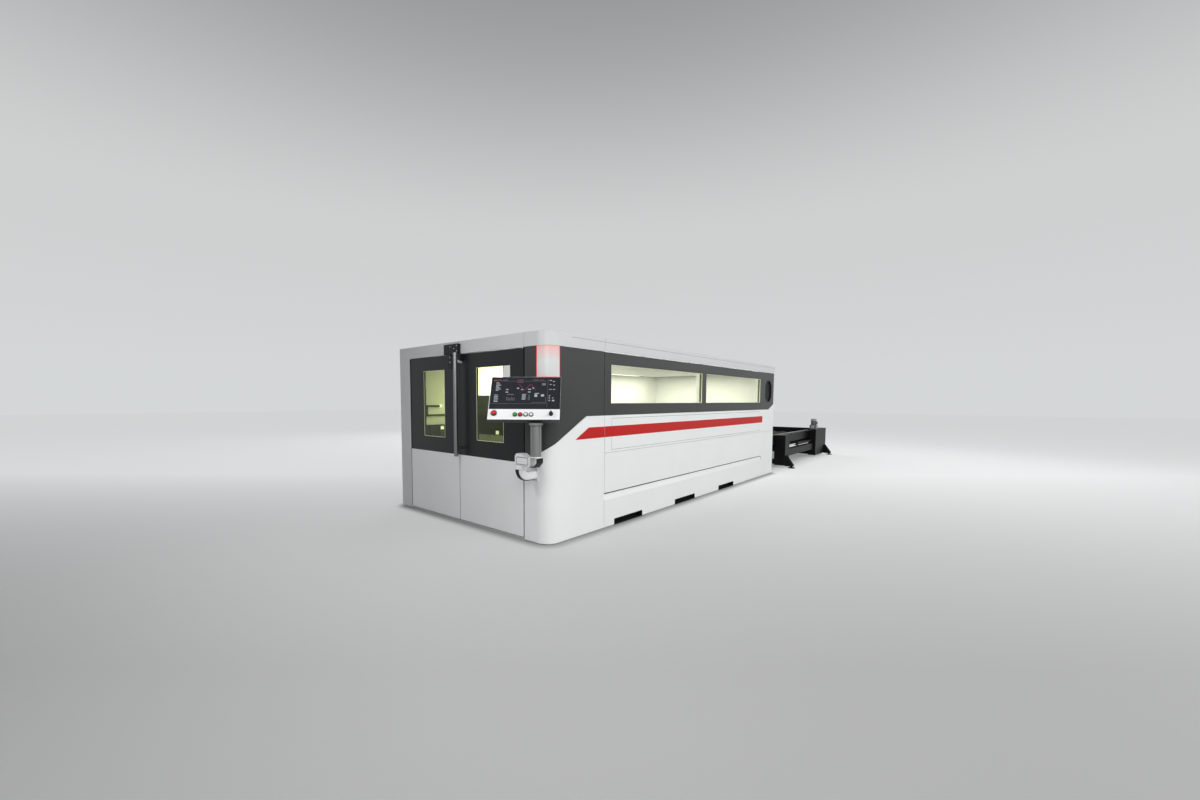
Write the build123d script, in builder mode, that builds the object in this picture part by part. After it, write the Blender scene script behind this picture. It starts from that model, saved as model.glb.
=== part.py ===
from build123d import *
import math
import os

# A fiber laser cutting machine: a closed cabin with the cutting bed inside, and a shuttle table behind it.
# Millimetres. X runs across the machine, Y from the doors to the shuttle table, Z up from the floor.
# The origin is on the floor, on the centre plane, under the front face of the doors.

os.makedirs("parts", exist_ok=True)

# Cabin
cab_width = 2740
cab_length = 6400
cab_height = 2100
corner_radius = 150
side_depth = 60
corner_depth = 40
cover_lift = 8
seam = 6
dark_recess = 8
cornice_height = 143
cornice_sheet = 6
cornice_flange = 46
roof_depth = 34
roof_sheet = 4
roof_panels = 4
front_border = 792
side_border = 1260
border_kink = 588
corner_seam = 900
column_width = 242
column_return = 200

# Cabin frame
post = 60
jamb_set_back = 50
sill_height = 25
sill_nose = 5
sill_depth = 150
header_height = 83
header_depth = 110
top_rail = 66

# Doors
door_depth = 45
door_face = 3
door_rim = 35
door_lift = 5
door_head_gap = 7
centre_seam = 4
centre_seam_x = -52
right_door_extra = 16
pivot_in = 12
pivot_back = 22
pivot_pin = 16
pivot_reach = 24
pivot_clearance = 0.1
swing_clearance = 3
door_window_width = 456
door_window_drop = 171
door_window_bottom = 976
glass = 6
glass_lap = 10
glass_clearance = 2

# Door handle and interlock
handle_pipe = 48
handle_bottom = 783
handle_rise = 5
handle_stand_off = 75
handle_in = 32
stay = 26
stay_inset = 96
lock_length = 295
lock_height = 116
lock_depth = 42
lock_drop = 4

# Right side covers
seam_height = 844
groove_top = 397
groove_bottom = 311
groove_depth = 42
groove_rear_gap = 615
pocket_length = 592
pocket_height = 74
pocket_first = 1390
pocket_pitch = 1410
hatch_front = 1030
hatch_rear_gap = 732
hatch_bottom = 873
hatch_top = 1228
hatch_depth = 20
hatch_gap = 3
stripe_bottom = 1021
stripe_top = 1140
stripe_front = 405
stripe_slant = 217
stripe_rear_gap = 606
stripe_film = 1
side_window_bottom = 1394
side_window_drop = 134
side_window_front = 1027
side_window_rear_gap = 726
side_mullion = 133
chamfer_run = 275
chamfer_rise = 105
vent_rear_gap = 123
vent_length = 342
vent_corner = 90
vent_recess = 30
vent_frame = 24
vent_blades = 9
vent_blade = 3

# Corner lamp
lamp_height = 307
lamp_depth = 32
lamp_front_run = 4
lamp_side_run = 20
lamp_gap = 1

# Cutting bed
bed_inside = 1085
bed_beam = 160
bed_bottom = 75
bed_top = 1000
bed_front = 420
bed_rear_gap = 60
cross_beam = 140
cross_height = 285
foot_pad = 140
foot_pad_height = 18
foot_nut = 60
gantry_rail = 30

# Pallets and their two levels
upper_level = 664
level_pitch = 210
rail_thickness = 20
rail_inside = 937
pallet_length = 3400
pallet_front = 1650
pallet_park_gap = 250
pallet_half = 930
pallet_tube = 60
pallet_tube_height = 90
wheel = 90
wheel_width = 40
wheel_clearance = 0.3
wheel_sides = 16
wheel_count = 3
slat_count = 20
slat_thickness = 6
slat_height = 110
tooth_count = 7
tooth_depth = 22
bearer = 45

# Gantry and cutting head
gantry_y = 820
truck_length = 360
truck_width = 110
truck_height = 50
beam_depth = 160
beam_height = 140
beam_wall = 10
x_rail = 20
carriage_x = -245
carriage_width = 600
carriage_top = 1487
carriage_bottom = 985
carriage_plate = 30
hood_depth = 100
hood_wall = 4
hood_corner = 16
trough_width = 90
trough_height = 60
trough_wall = 4
head_body = 80
head_radius = 36
nozzle_height = 70
nozzle_sides = 16
head_tip = 960
slide_gap = 1

# Shuttle table
table_gap = 5
table_length = 4470
side_beam = 20
side_beam_in = 1105
side_beam_bottom = 485
side_beam_top = 690
near_post_offset = 880
near_post_length = 300
near_post_width = 225
far_post_length = 990
far_post_width = 175
post_corner = 8
post_lift = 45
low_beam_width = 120
low_beam_bottom = 200
low_beam_top = 353
tie_height = 100
end_beam_height = 140
end_beam_inset = 310
table_foot_reach = 120
table_foot_inset = 160
gusset_height = 215
lift_plate = 15
lift_front_gap = 40
lift_length = 3960
lift_cross = 100
lift_cross_first = 420
lift_cross_last = 480
cylinder = 70
cylinder_length = 1250
rod = 36
rod_length = 1150
rod_clearance = 0.1
hook_height = 430
hook_reach = 120
hook_rise = 90
hook_bar = 22
hook_width = 24
motor_body = 130
motor_height = 150
gearbox_height = 110
fan_cover = 50

# Control arm
arm_x = 1198
arm_out = 200
elbow_height = 695
elbow_width = 80
elbow_bend = 75
elbow_corner = 16
wall_plate_height = 130
wall_plate = 92
wall_plate_depth = 14
swivel_disc = 125
swivel_disc_height = 20
swivel_gap = 0.5
arm_reach = 212
arm_box_height = 88
arm_box_width = 88
arm_tube_width = 92
arm_tube_depth = 80
arm_tube_top = 1198
coupling_disc = 129

# Control panel
panel_width = 663
panel_height = 466
panel_depth = 50
panel_yaw = 38.8
panel_tilt = 30
panel_aside = -109
panel_ahead = 68
panel_bottom = 1243
screen_width = 636
screen_height = 338
screen_top_margin = 10
screen_sheet = 3
button_pitch = 50
button_size = 28
button_gap = 0.5
button_sides = 16
button_stroke = 5
collar = 6
estop_size = 40
estop_stem = 20
knob_collar = 40

half_width = cab_width / 2
inner_side = half_width - side_depth
cornice_bottom = cab_height - cornice_height
hinge_reach = math.hypot(pivot_in, pivot_back)
left_opening = -half_width + column_width
left_pivot = left_opening + hinge_reach + swing_clearance
left_leaf = (left_pivot - pivot_in, centre_seam_x - centre_seam / 2)
door_width = left_leaf[1] - left_leaf[0]
right_leaf_start = centre_seam_x + centre_seam / 2
right_leaf = (right_leaf_start, right_leaf_start + door_width + right_door_extra)
right_pivot = right_leaf[1] - pivot_in
right_opening = right_pivot + hinge_reach + swing_clearance
door_z = (sill_height + door_lift, cornice_bottom - door_head_gap)
door_window_height = cornice_bottom - door_window_drop - door_window_bottom
handle_top = cornice_bottom + handle_rise
lamp_bottom = cornice_bottom - lamp_height
groove_end = cab_length - groove_rear_gap
hatch_rear = cab_length - hatch_rear_gap
stripe_rear = cab_length - stripe_rear_gap
side_window_top = cornice_bottom - side_window_drop
side_window_length = (cab_length - side_window_rear_gap - side_window_front - side_mullion) / 2
vent_front = cab_length - vent_rear_gap - vent_length
pallet_travel = cab_length + pallet_park_gap - pallet_front
table_end = cab_length + table_length
near_post_front = cab_length + near_post_offset
arc_centre = (half_width - corner_radius, corner_radius)


def block(x, y, z, mode=Mode.ADD):
    """Add a straight block between the low and high coordinates on each axis."""
    with Locations((sum(x) / 2, sum(y) / 2, sum(z) / 2)):
        Box(x[1] - x[0], y[1] - y[0], z[1] - z[0], mode=mode)


def panel(a, b, mode=Mode.ADD):
    """Add a rectangle between the low and high coordinates of the sketch's two axes."""
    with Locations((sum(a) / 2, sum(b) / 2)):
        Rectangle(a[1] - a[0], b[1] - b[0], mode=mode)


def upright(y):
    """Give a sketch plane whose axes are X and Z, at this y, to extrude towards the doors."""
    return Plane.XZ.offset(-y)


# Front sill: the threshold that the doors stand over, with a blind socket for each lower pivot.
with BuildPart() as front_sill:
    block((left_opening + 2, right_opening - 2), (-sill_nose, post), (0, sill_height))
    block((-inner_side, inner_side - post), (post, sill_depth), (0, sill_height))
    with BuildSketch(Plane.XY.offset(sill_height)):
        with Locations((left_pivot, pivot_back), (right_pivot, pivot_back)):
            Circle(pivot_pin / 2 + pivot_clearance)
    extrude(amount=-(pivot_reach - 2), mode=Mode.SUBTRACT)
front_sill.part.label = "front_sill"
export_step(front_sill.part, "parts/front_sill.step")

# Door header: the box over the doorway, with a socket for each upper pivot.
with BuildPart() as door_header:
    block(
        (-inner_side, arc_centre[0] - corner_depth),
        (cornice_sheet, header_depth),
        (cornice_bottom, cornice_bottom + header_height),
    )
    with BuildSketch(Plane.XY.offset(cornice_bottom)):
        with Locations((left_pivot, pivot_back), (right_pivot, pivot_back)):
            Circle(pivot_pin / 2 + pivot_clearance)
    extrude(amount=pivot_reach, mode=Mode.SUBTRACT)
door_header.part.label = "door_header"
export_step(door_header.part, "parts/door_header.step")

# Cabin posts: square tubes behind the covers' seams, and the two jambs of the doorway.
top_rail_z = (cab_height - cornice_sheet - roof_depth - top_rail, cab_height - cornice_sheet - roof_depth)
mullion_y = side_window_front + side_window_length + side_mullion / 2
post_rows = (corner_seam + 5, mullion_y - post / 2, groove_end - post / 2, cab_length - 2 * post)
with BuildPart() as cabin_posts:
    for y in post_rows:
        for side in (-1, 1):
            centre = side * (inner_side - post / 2)
            block((centre - post / 2, centre + post / 2), (y, y + post), (0, top_rail_z[0]))
    block(
        (half_width - corner_depth - post, half_width - corner_depth),
        (corner_radius + 20, corner_radius + 20 + post),
        (0, top_rail_z[0]),
    )
    block(
        (-inner_side, -inner_side + post),
        (column_return + 5, column_return + 5 + post),
        (0, top_rail_z[0]),
    )
    jamb_y = (jamb_set_back, jamb_set_back + post)
    block((left_opening - post - 2, left_opening - 2), jamb_y, (sill_height, cornice_bottom))
    block((right_opening + 2, right_opening + 2 + post), jamb_y, (sill_height, cornice_bottom))
cabin_posts.part.label = "cabin_posts"
export_step(cabin_posts.part, "parts/cabin_posts.step")

# Top rails: the ladder of square tubes that carries the roof.
with BuildPart() as top_rails:
    for side in (-1, 1):
        centre = side * (inner_side - post / 2)
        rail_y = (header_depth + post, cab_length - 2 * post)
        block((centre - post / 2, centre + post / 2), rail_y, top_rail_z)
    for y in (header_depth, cab_length - 2 * post):
        block((-inner_side, inner_side), (y, y + post), top_rail_z)
    for y in post_rows[1:3]:
        block((-inner_side + post, inner_side - post), (y, y + post), top_rail_z)
top_rails.part.label = "top_rails"
export_step(top_rails.part, "parts/top_rails.step")

# Interior lights: two lamp bars under the top rails.
with BuildPart() as interior_lights:
    for side in (-1, 1):
        centre = side * (inner_side - post / 2)
        light_y = (post_rows[0] + post + 20, post_rows[1] - 20)
        block((centre - 25, centre + 25), light_y, (top_rail_z[0] - 28, top_rail_z[0]))
        light_y = (post_rows[1] + post + 20, post_rows[2] - 20)
        block((centre - 25, centre + 25), light_y, (top_rail_z[0] - 28, top_rail_z[0]))
interior_lights.part.label = "interior_lights"
export_step(interior_lights.part, "parts/interior_lights.step")


def cabin_outline(inset):
    """Draw the cabin's plan, set in by the inset: square corners but for the round one by the arm."""
    with BuildSketch() as outline:
        with BuildLine():
            Polyline(
                (arc_centre[0], inset),
                (-half_width + inset, inset),
                (-half_width + inset, cab_length - inset),
                (half_width - inset, cab_length - inset),
                (half_width - inset, arc_centre[1]),
            )
            CenterArc(arc_centre, corner_radius - inset, -90, 90)
        make_face()
    return outline.sketch


# Cornice: folded sheet round the top of the cabin, in lengths with open seams between them.
with BuildPart() as cornice:
    with BuildSketch(Plane.XY.offset(cornice_bottom)):
        add(cabin_outline(0))
        add(cabin_outline(cornice_sheet), mode=Mode.SUBTRACT)
    extrude(amount=cornice_height)
    with BuildSketch(Plane.XY.offset(cab_height - cornice_sheet)):
        add(cabin_outline(cornice_sheet / 2))
        add(cabin_outline(cornice_flange), mode=Mode.SUBTRACT)
    extrude(amount=cornice_sheet)
    cut_z = (cornice_bottom - 1, cab_height + 1)
    flange_x = (half_width - 2 * cornice_flange, half_width + 1)
    block(flange_x, (corner_seam - seam / 4, corner_seam + seam / 4), cut_z, Mode.SUBTRACT)
    cover_edge = (right_opening - seam / 4, right_opening + seam / 4)
    block(cover_edge, (-1, 2 * cornice_flange), cut_z, Mode.SUBTRACT)
    for side in (-1, 1):
        edge = side * (half_width - cornice_flange - 10)
        rear = (cab_length - 2 * cornice_flange, cab_length + 1)
        block((edge - seam / 4, edge + seam / 4), rear, cut_z, Mode.SUBTRACT)
    flange_x = (-half_width - 1, -half_width + 2 * cornice_flange)
    block(flange_x, (column_return - seam / 4, column_return + seam / 4), cut_z, Mode.SUBTRACT)
cornice.part.label = "cornice"
export_step(cornice.part, "parts/cornice.step")

# Roof: folded trays laid across the top rails, closed side up.
roof_z = (cab_height - cornice_sheet - roof_depth, cab_height - cornice_sheet)
with BuildPart() as roof:
    with BuildSketch(Plane.XY.offset(roof_z[0])):
        add(cabin_outline(cornice_sheet + 1))
    extrude(amount=roof_depth)
    tray = (cab_length - 2 * cornice_sheet - 2) / roof_panels
    tray_start = cornice_sheet + 1
    for number in range(1, roof_panels):
        y = tray_start + number * tray
        gap_y = (y - seam / 4, y + seam / 4)
        block((-half_width, half_width), gap_y, (roof_z[0] - 1, roof_z[1] + 1), Mode.SUBTRACT)
    for number in range(roof_panels):
        y = tray_start + number * tray
        block(
            (-inner_side + 2 * post, inner_side - 2 * post),
            (y + 2 * post, y + tray - 2 * post),
            (roof_z[0] - 1, roof_z[1] - roof_sheet),
            Mode.SUBTRACT,
        )
roof.part.label = "roof"
export_step(roof.part, "parts/roof.step")

# Left front column: a folded channel beside the doorway.
column_z = (cover_lift, cornice_bottom)
with BuildPart() as left_front_column:
    sheet = cornice_sheet
    block((-half_width, left_opening), (0, sheet), column_z)
    block((left_opening - sheet, left_opening), (0, jamb_set_back), column_z)
    block((-half_width, -half_width + sheet), (0, column_return), column_z)
left_front_column.part.label = "left_front_column"
export_step(left_front_column.part, "parts/left_front_column.step")

# Corner cover. The border between its white and its dark sheet climbs in a straight line on the flat
# sheet, so it runs level round the bend only in the drawing: bent, it is a helix on the corner's arc.
arc_length = corner_radius * math.pi / 2
front_run = arc_centre[0] - right_opening
climb = (side_border - front_border) / (front_run + arc_length + border_kink - corner_radius)
arc_start_z = front_border + climb * front_run
arc_end_z = arc_start_z + climb * arc_length


def beyond_border(limit):
    """Fill the space from the border up or down to the limit, wider than the cover's wall."""
    reach = corner_depth + 30
    with BuildPart() as space:
        with BuildSketch(upright(reach)):
            Polygon(
                (right_opening - 50, front_border - climb * 50),
                (arc_centre[0], arc_start_z),
                (arc_centre[0], limit),
                (right_opening - 50, limit),
                align=None,
            )
        extrude(amount=reach + 30)
        with BuildSketch(Plane.YZ.offset(half_width - reach)):
            Polygon(
                (arc_centre[1], arc_end_z),
                (border_kink, side_border),
                (corner_seam + 50, side_border),
                (corner_seam + 50, limit),
                (arc_centre[1], limit),
                align=None,
            )
        extrude(amount=reach + 30)
        steps = 6
        for step in range(steps + 1):
            angle = step * math.pi / 2 / steps
            level = arc_start_z + climb * corner_radius * angle
            outward = (math.sin(angle), -math.cos(angle), 0)
            along = (-math.cos(angle), -math.sin(angle), 0)
            with BuildSketch(Plane((arc_centre[0], arc_centre[1], 0), x_dir=outward, z_dir=along)):
                panel((corner_radius - reach, corner_radius + 30), sorted((level, limit)))
        loft()
    return space.part


def corner_wall(face_inset, depth_inset):
    """Draw the corner cover's plan between two faces, each set in from the cabin's outline."""
    end = corner_seam - seam / 2
    with BuildSketch() as wall:
        with BuildLine():
            Polyline(
                (arc_centre[0], face_inset),
                (right_opening, face_inset),
                (right_opening, depth_inset),
                (arc_centre[0], depth_inset),
            )
            CenterArc(arc_centre, corner_radius - depth_inset, -90, 90)
            Polyline(
                (half_width - depth_inset, arc_centre[1]),
                (half_width - depth_inset, end),
                (half_width - face_inset, end),
                (half_width - face_inset, arc_centre[1]),
            )
            CenterArc(arc_centre, corner_radius - face_inset, -90, 90)
        make_face()
    return wall.sketch


above_border = beyond_border(cab_height)
below_border = beyond_border(-100)
with BuildPart() as corner_cover:
    with BuildSketch(Plane.XY.offset(cover_lift)):
        add(corner_wall(0, corner_depth))
    extrude(amount=cornice_bottom - cover_lift)
    add(above_border, mode=Mode.SUBTRACT)
corner_cover.part.label = "corner_cover"
export_step(corner_cover.part, "parts/corner_cover.step")


def lamp_space(gap, outer, inner):
    """Draw the corner lamp's plan: the corner's arc and a short run at each end, grown by the gap."""
    front = arc_centre[0] - lamp_front_run - gap
    rear = arc_centre[1] + lamp_side_run + gap
    with BuildSketch() as space:
        with BuildLine():
            Polyline(
                (arc_centre[0], outer),
                (front, outer),
                (front, inner),
                (arc_centre[0], inner),
            )
            CenterArc(arc_centre, corner_radius - inner, -90, 90)
            Polyline(
                (half_width - inner, arc_centre[1]),
                (half_width - inner, rear),
                (half_width - outer, rear),
                (half_width - outer, arc_centre[1]),
            )
            CenterArc(arc_centre, corner_radius - outer, -90, 90)
        make_face()
    return space.sketch


with BuildPart() as corner_dark_panel:
    with BuildSketch(Plane.XY.offset(front_border)):
        add(corner_wall(dark_recess, corner_depth))
    extrude(amount=cornice_bottom - front_border)
    add(below_border, mode=Mode.SUBTRACT)
    with BuildSketch(Plane.XY.offset(lamp_bottom - lamp_gap)):
        add(lamp_space(lamp_gap, -1, lamp_depth))
    extrude(amount=cab_height - lamp_bottom, mode=Mode.SUBTRACT)
corner_dark_panel.part.label = "corner_dark_panel"
export_step(corner_dark_panel.part, "parts/corner_dark_panel.step")

# Corner lamp: a bent translucent cover, flush with the white sheet.
with BuildPart() as corner_lamp:
    with BuildSketch(Plane.XY.offset(lamp_bottom)):
        add(lamp_space(0, 0, lamp_depth))
    extrude(amount=cornice_bottom - lamp_bottom)
corner_lamp.part.label = "corner_lamp"
export_step(corner_lamp.part, "parts/corner_lamp.step")


def base_panel(side):
    """Make a side's base cover: the long V groove and the pockets over the levelling feet."""
    start = corner_seam + seam / 2 if side > 0 else column_return + seam / 2
    with BuildPart() as base:
        wall_x = sorted((side * inner_side, side * half_width))
        block(wall_x, (start, cab_length), (cover_lift, seam_height - seam / 4))
        with BuildSketch(upright(groove_end)):
            Polygon(
                (side * (half_width + 1), groove_bottom - 1),
                (side * (half_width - groove_depth), groove_top),
                (side * (half_width + 1), groove_top),
                align=None,
            )
        extrude(amount=groove_end - start + 1, mode=Mode.SUBTRACT)
        for number in range(3):
            middle = pocket_first + number * pocket_pitch
            block(
                sorted((side * (inner_side - 1), side * (half_width + 1))),
                (middle - pocket_length / 2, middle + pocket_length / 2),
                (0, pocket_height),
                Mode.SUBTRACT,
            )
    return base


right_base_panel = base_panel(1)
right_base_panel.part.label = "right_base_panel"
export_step(right_base_panel.part, "parts/right_base_panel.step")

# Right middle panel: white, with the step for the hatch and the slanted rise at its rear end.
middle_y = (corner_seam + seam / 2, cab_length)
with BuildPart() as right_middle_panel:
    with BuildSketch(Plane.YZ.offset(inner_side)):
        Polygon(
            (middle_y[0], seam_height + seam / 4),
            (middle_y[1], seam_height + seam / 4),
            (middle_y[1], side_border + chamfer_rise),
            (middle_y[1] - chamfer_run, side_border),
            (middle_y[0], side_border),
            align=None,
        )
    extrude(amount=side_depth)
    step_x = (half_width - hatch_depth, half_width + 1)
    block(step_x, (hatch_front, hatch_rear), (hatch_bottom, hatch_top), Mode.SUBTRACT)
right_middle_panel.part.label = "right_middle_panel"
export_step(right_middle_panel.part, "parts/right_middle_panel.step")

# Right hatch: a screwed cover in the middle panel's step.
with BuildPart() as right_hatch:
    block(
        (half_width - hatch_depth, half_width),
        (hatch_front + hatch_gap, hatch_rear - hatch_gap),
        (hatch_bottom + hatch_gap, hatch_top - hatch_gap),
    )
right_hatch.part.label = "right_hatch"
export_step(right_hatch.part, "parts/right_hatch.step")

# Red stripe: film on the corner cover, the hatch and the middle panel, cut at each seam.
stripe_cuts = (
    corner_seam - seam / 2,
    corner_seam + seam / 2,
    hatch_front,
    hatch_front + hatch_gap,
    hatch_rear - hatch_gap,
    hatch_rear,
    stripe_rear,
)
with BuildPart() as red_stripe:
    with BuildSketch(Plane.YZ.offset(half_width)):
        Polygon(
            (stripe_front, stripe_bottom),
            (stripe_rear, stripe_bottom),
            (stripe_rear, stripe_top),
            (stripe_front + stripe_slant, stripe_top),
            align=None,
        )
        for low, high in ((0, 1), (2, 3), (4, 5)):
            panel((stripe_cuts[low], stripe_cuts[high]), (stripe_bottom - 1, stripe_top + 1), Mode.SUBTRACT)
    extrude(amount=stripe_film)
red_stripe.part.label = "red_stripe"
export_step(red_stripe.part, "parts/red_stripe.step")

# Right upper panel: dark, set back from the white, with two windows and the vent's recess.
side_window_z = (side_window_bottom, side_window_top)
side_windows = (
    (side_window_front, side_window_front + side_window_length),
    (
        side_window_front + side_window_length + side_mullion,
        side_window_front + 2 * side_window_length + side_mullion,
    ),
)
dark_face = half_width - dark_recess
glass_face = dark_face - 14
vent_y = (vent_front, vent_front + vent_length)


def vent_outline(inset):
    """Draw the vent's octagon: a rectangle with its corners cut off, set in by the inset."""
    with BuildSketch() as octagon:
        with Locations((sum(vent_y) / 2, sum(side_window_z) / 2)):
            Rectangle(vent_length - 2 * inset, side_window_top - side_window_bottom - 24 - 2 * inset)
        chamfer(octagon.vertices(), vent_corner - inset * 0.6)
    return octagon.sketch


with BuildPart() as right_upper_panel:
    with BuildSketch(Plane.YZ.offset(inner_side)):
        Polygon(
            (middle_y[0], side_border),
            (middle_y[1] - chamfer_run, side_border),
            (middle_y[1], side_border + chamfer_rise),
            (middle_y[1], cornice_bottom),
            (middle_y[0], cornice_bottom),
            align=None,
        )
        for span in side_windows:
            panel(span, side_window_z, Mode.SUBTRACT)
    extrude(amount=dark_face - inner_side)
    margin = glass_lap + glass_clearance
    for span in side_windows:
        block(
            (inner_side - 1, glass_face),
            (span[0] - margin, span[1] + margin),
            (side_window_z[0] - margin, side_window_z[1] + margin),
            Mode.SUBTRACT,
        )
    with BuildSketch(Plane.YZ.offset(dark_face - vent_recess)):
        add(vent_outline(0))
    extrude(amount=vent_recess + 1, mode=Mode.SUBTRACT)
right_upper_panel.part.label = "right_upper_panel"
export_step(right_upper_panel.part, "parts/right_upper_panel.step")

# Right windows: laser-safe glass bonded behind the dark panel.
with BuildPart() as right_windows:
    for span in side_windows:
        block(
            (glass_face - glass, glass_face),
            (span[0] - glass_lap, span[1] + glass_lap),
            (side_window_z[0] - glass_lap, side_window_z[1] + glass_lap),
        )
right_windows.part.label = "right_windows"
export_step(right_windows.part, "parts/right_windows.step")

# Vent grille: an eight-sided frame with slanted blades, in the recess.
with BuildPart() as vent_grille:
    with BuildSketch(Plane.YZ.offset(dark_face - vent_recess)):
        add(vent_outline(2))
        add(vent_outline(vent_frame), mode=Mode.SUBTRACT)
    extrude(amount=vent_recess - 6)
    blade_gap = (side_window_top - side_window_bottom - 24 - 2 * vent_frame) / (vent_blades + 1)
    for number in range(vent_blades):
        z = side_window_bottom + 12 + vent_frame + (number + 1) * blade_gap
        inset = max(0, vent_corner - vent_frame - min(number + 1, vent_blades - number) * blade_gap + 16)
        blade_y = (vent_y[0] + vent_frame - 4 + inset, vent_y[1] - vent_frame + 4 - inset)
        with BuildSketch(upright(blade_y[1])):
            Polygon(
                (dark_face - vent_recess, z + 12),
                (dark_face - 12, z - 12),
                (dark_face - 12, z - 12 + vent_blade),
                (dark_face - vent_recess, z + 12 + vent_blade),
                align=None,
            )
        extrude(amount=blade_y[1] - blade_y[0])
vent_grille.part.label = "vent_grille"
export_step(vent_grille.part, "parts/vent_grille.step")

# Left side panels: the base cover as on the right, and a plain upper cover in two widths.
with BuildPart() as left_side_panels:
    add(base_panel(-1).part)
    upper_z = (seam_height + seam / 4, cornice_bottom)
    middle = cab_length / 2
    block((-half_width, -inner_side), (column_return + seam / 2, middle - seam / 4), upper_z)
    block((-half_width, -inner_side), (middle + seam / 4, cab_length), upper_z)
left_side_panels.part.label = "left_side_panels"
export_step(left_side_panels.part, "parts/left_side_panels.step")

# Rear wall: closes the cabin round the opening that both pallets pass through.
pallet_height = pallet_tube_height + 65 + 15
opening_x = rail_inside + 138
opening_z = (upper_level - level_pitch - 54, upper_level + pallet_height + 146)
with BuildPart() as rear_wall:
    with BuildSketch(upright(cab_length)):
        panel((-inner_side, inner_side), (cover_lift, cornice_bottom))
        panel((-opening_x, opening_x), opening_z, Mode.SUBTRACT)
    extrude(amount=post)
rear_wall.part.label = "rear_wall"
export_step(rear_wall.part, "parts/rear_wall.step")


def door_leaf(leaf, pivot):
    """Make a door's folded leaf: lower skin proud of the upper one, window hole, hollow back and pivots."""
    middle = sum(leaf) / 2
    margin = glass_lap + glass_clearance
    hole = door_window_width / 2 + margin
    hole_z = (door_window_bottom - margin, door_window_bottom + door_window_height + margin)
    upper_face = dark_recess + door_face
    with BuildPart() as door:
        block(leaf, (upper_face, door_depth), door_z)
        block(leaf, (0, upper_face), (door_z[0], front_border))
        block((middle - hole, middle + hole), (0, door_depth + 1), hole_z, Mode.SUBTRACT)
        with BuildSketch(upright(door_depth)):
            panel((leaf[0] + door_rim, leaf[1] - door_rim), (door_z[0] + door_rim, door_z[1] - door_rim))
            panel((middle - hole - 20, middle + hole + 20), (hole_z[0] - 20, hole_z[1] + 20), Mode.SUBTRACT)
            panel((leaf[0], leaf[1]), (front_border - 25, front_border + 25), Mode.SUBTRACT)
        extrude(amount=door_depth - upper_face - 5, mode=Mode.SUBTRACT)
        for z, reach in ((door_z[0], door_lift - pivot_reach), (door_z[1], pivot_reach + 2)):
            with BuildSketch(Plane.XY.offset(z)):
                with Locations((pivot, pivot_back)):
                    Circle(pivot_pin / 2)
            extrude(amount=reach)
    return door


def door_skin(leaf):
    """Make a door's dark upper skin, with the window's hole."""
    middle = sum(leaf) / 2
    with BuildPart() as skin:
        with BuildSketch(upright(dark_recess + door_face)):
            panel(leaf, (front_border, door_z[1]))
            panel(
                (middle - door_window_width / 2, middle + door_window_width / 2),
                (door_window_bottom, door_window_bottom + door_window_height),
                Mode.SUBTRACT,
            )
        extrude(amount=door_face)
    return skin


def door_glass(leaf):
    """Make a door's window pane, bonded to the back of the dark skin."""
    middle = sum(leaf) / 2
    lap = door_window_width / 2 + glass_lap
    face = dark_recess + door_face
    with BuildPart() as pane:
        block(
            (middle - lap, middle + lap),
            (face, face + glass),
            (door_window_bottom - glass_lap, door_window_bottom + door_window_height + glass_lap),
        )
    return pane


for name, leaf, pivot in (("left", left_leaf, left_pivot), ("right", right_leaf, right_pivot)):
    leaf_part = door_leaf(leaf, pivot)
    leaf_part.part.label = f"{name}_door_leaf"
    export_step(leaf_part.part, f"parts/{name}_door_leaf.step")
    skin_part = door_skin(leaf)
    skin_part.part.label = f"{name}_door_skin"
    export_step(skin_part.part, f"parts/{name}_door_skin.step")
    glass_part = door_glass(leaf)
    glass_part.part.label = f"{name}_door_glass"
    export_step(glass_part.part, f"parts/{name}_door_glass.step")

# Door handle: a full-height capped tube on two stays, on the right leaf.
handle_x = right_leaf[0] + handle_in
with BuildPart() as door_handle:
    with BuildSketch(Plane.XY.offset(handle_bottom)):
        with Locations((handle_x, -handle_stand_off)):
            Circle(handle_pipe / 2)
    extrude(amount=handle_top - handle_bottom)
    with BuildSketch(upright(dark_recess)):
        with Locations((handle_x, handle_top - stay_inset), (handle_x, handle_bottom + stay_inset)):
            Circle(stay / 2)
    extrude(amount=handle_stand_off + dark_recess - handle_pipe / 2 + 3)
door_handle.part.label = "door_handle"
export_step(door_handle.part, "parts/door_handle.step")

# Lock housing: the interlock's cover on the cornice over the meeting leaves.
lock_x = (centre_seam_x + 38 - lock_length, centre_seam_x + 38)
lock_z = (cornice_bottom - lock_drop, cornice_bottom - lock_drop + lock_height)
with BuildPart() as lock_housing:
    with BuildSketch(Plane.XY.offset(lock_z[0])):
        with BuildLine():
            Polyline(
                (lock_x[0], 0),
                (lock_x[0], -20),
                (lock_x[0] + 22, -lock_depth),
                (lock_x[1] - 130, -lock_depth),
            )
            Polyline(
                (lock_x[1] - 130, -lock_depth),
                (lock_x[1] - 118, -30),
                (lock_x[1] - 96, -30),
                (lock_x[1] - 90, -lock_depth),
                (lock_x[1], -lock_depth),
                (lock_x[1], 0),
                (lock_x[0], 0),
            )
        make_face()
    extrude(amount=lock_height)
lock_housing.part.label = "lock_housing"
export_step(lock_housing.part, "parts/lock_housing.step")

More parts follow.
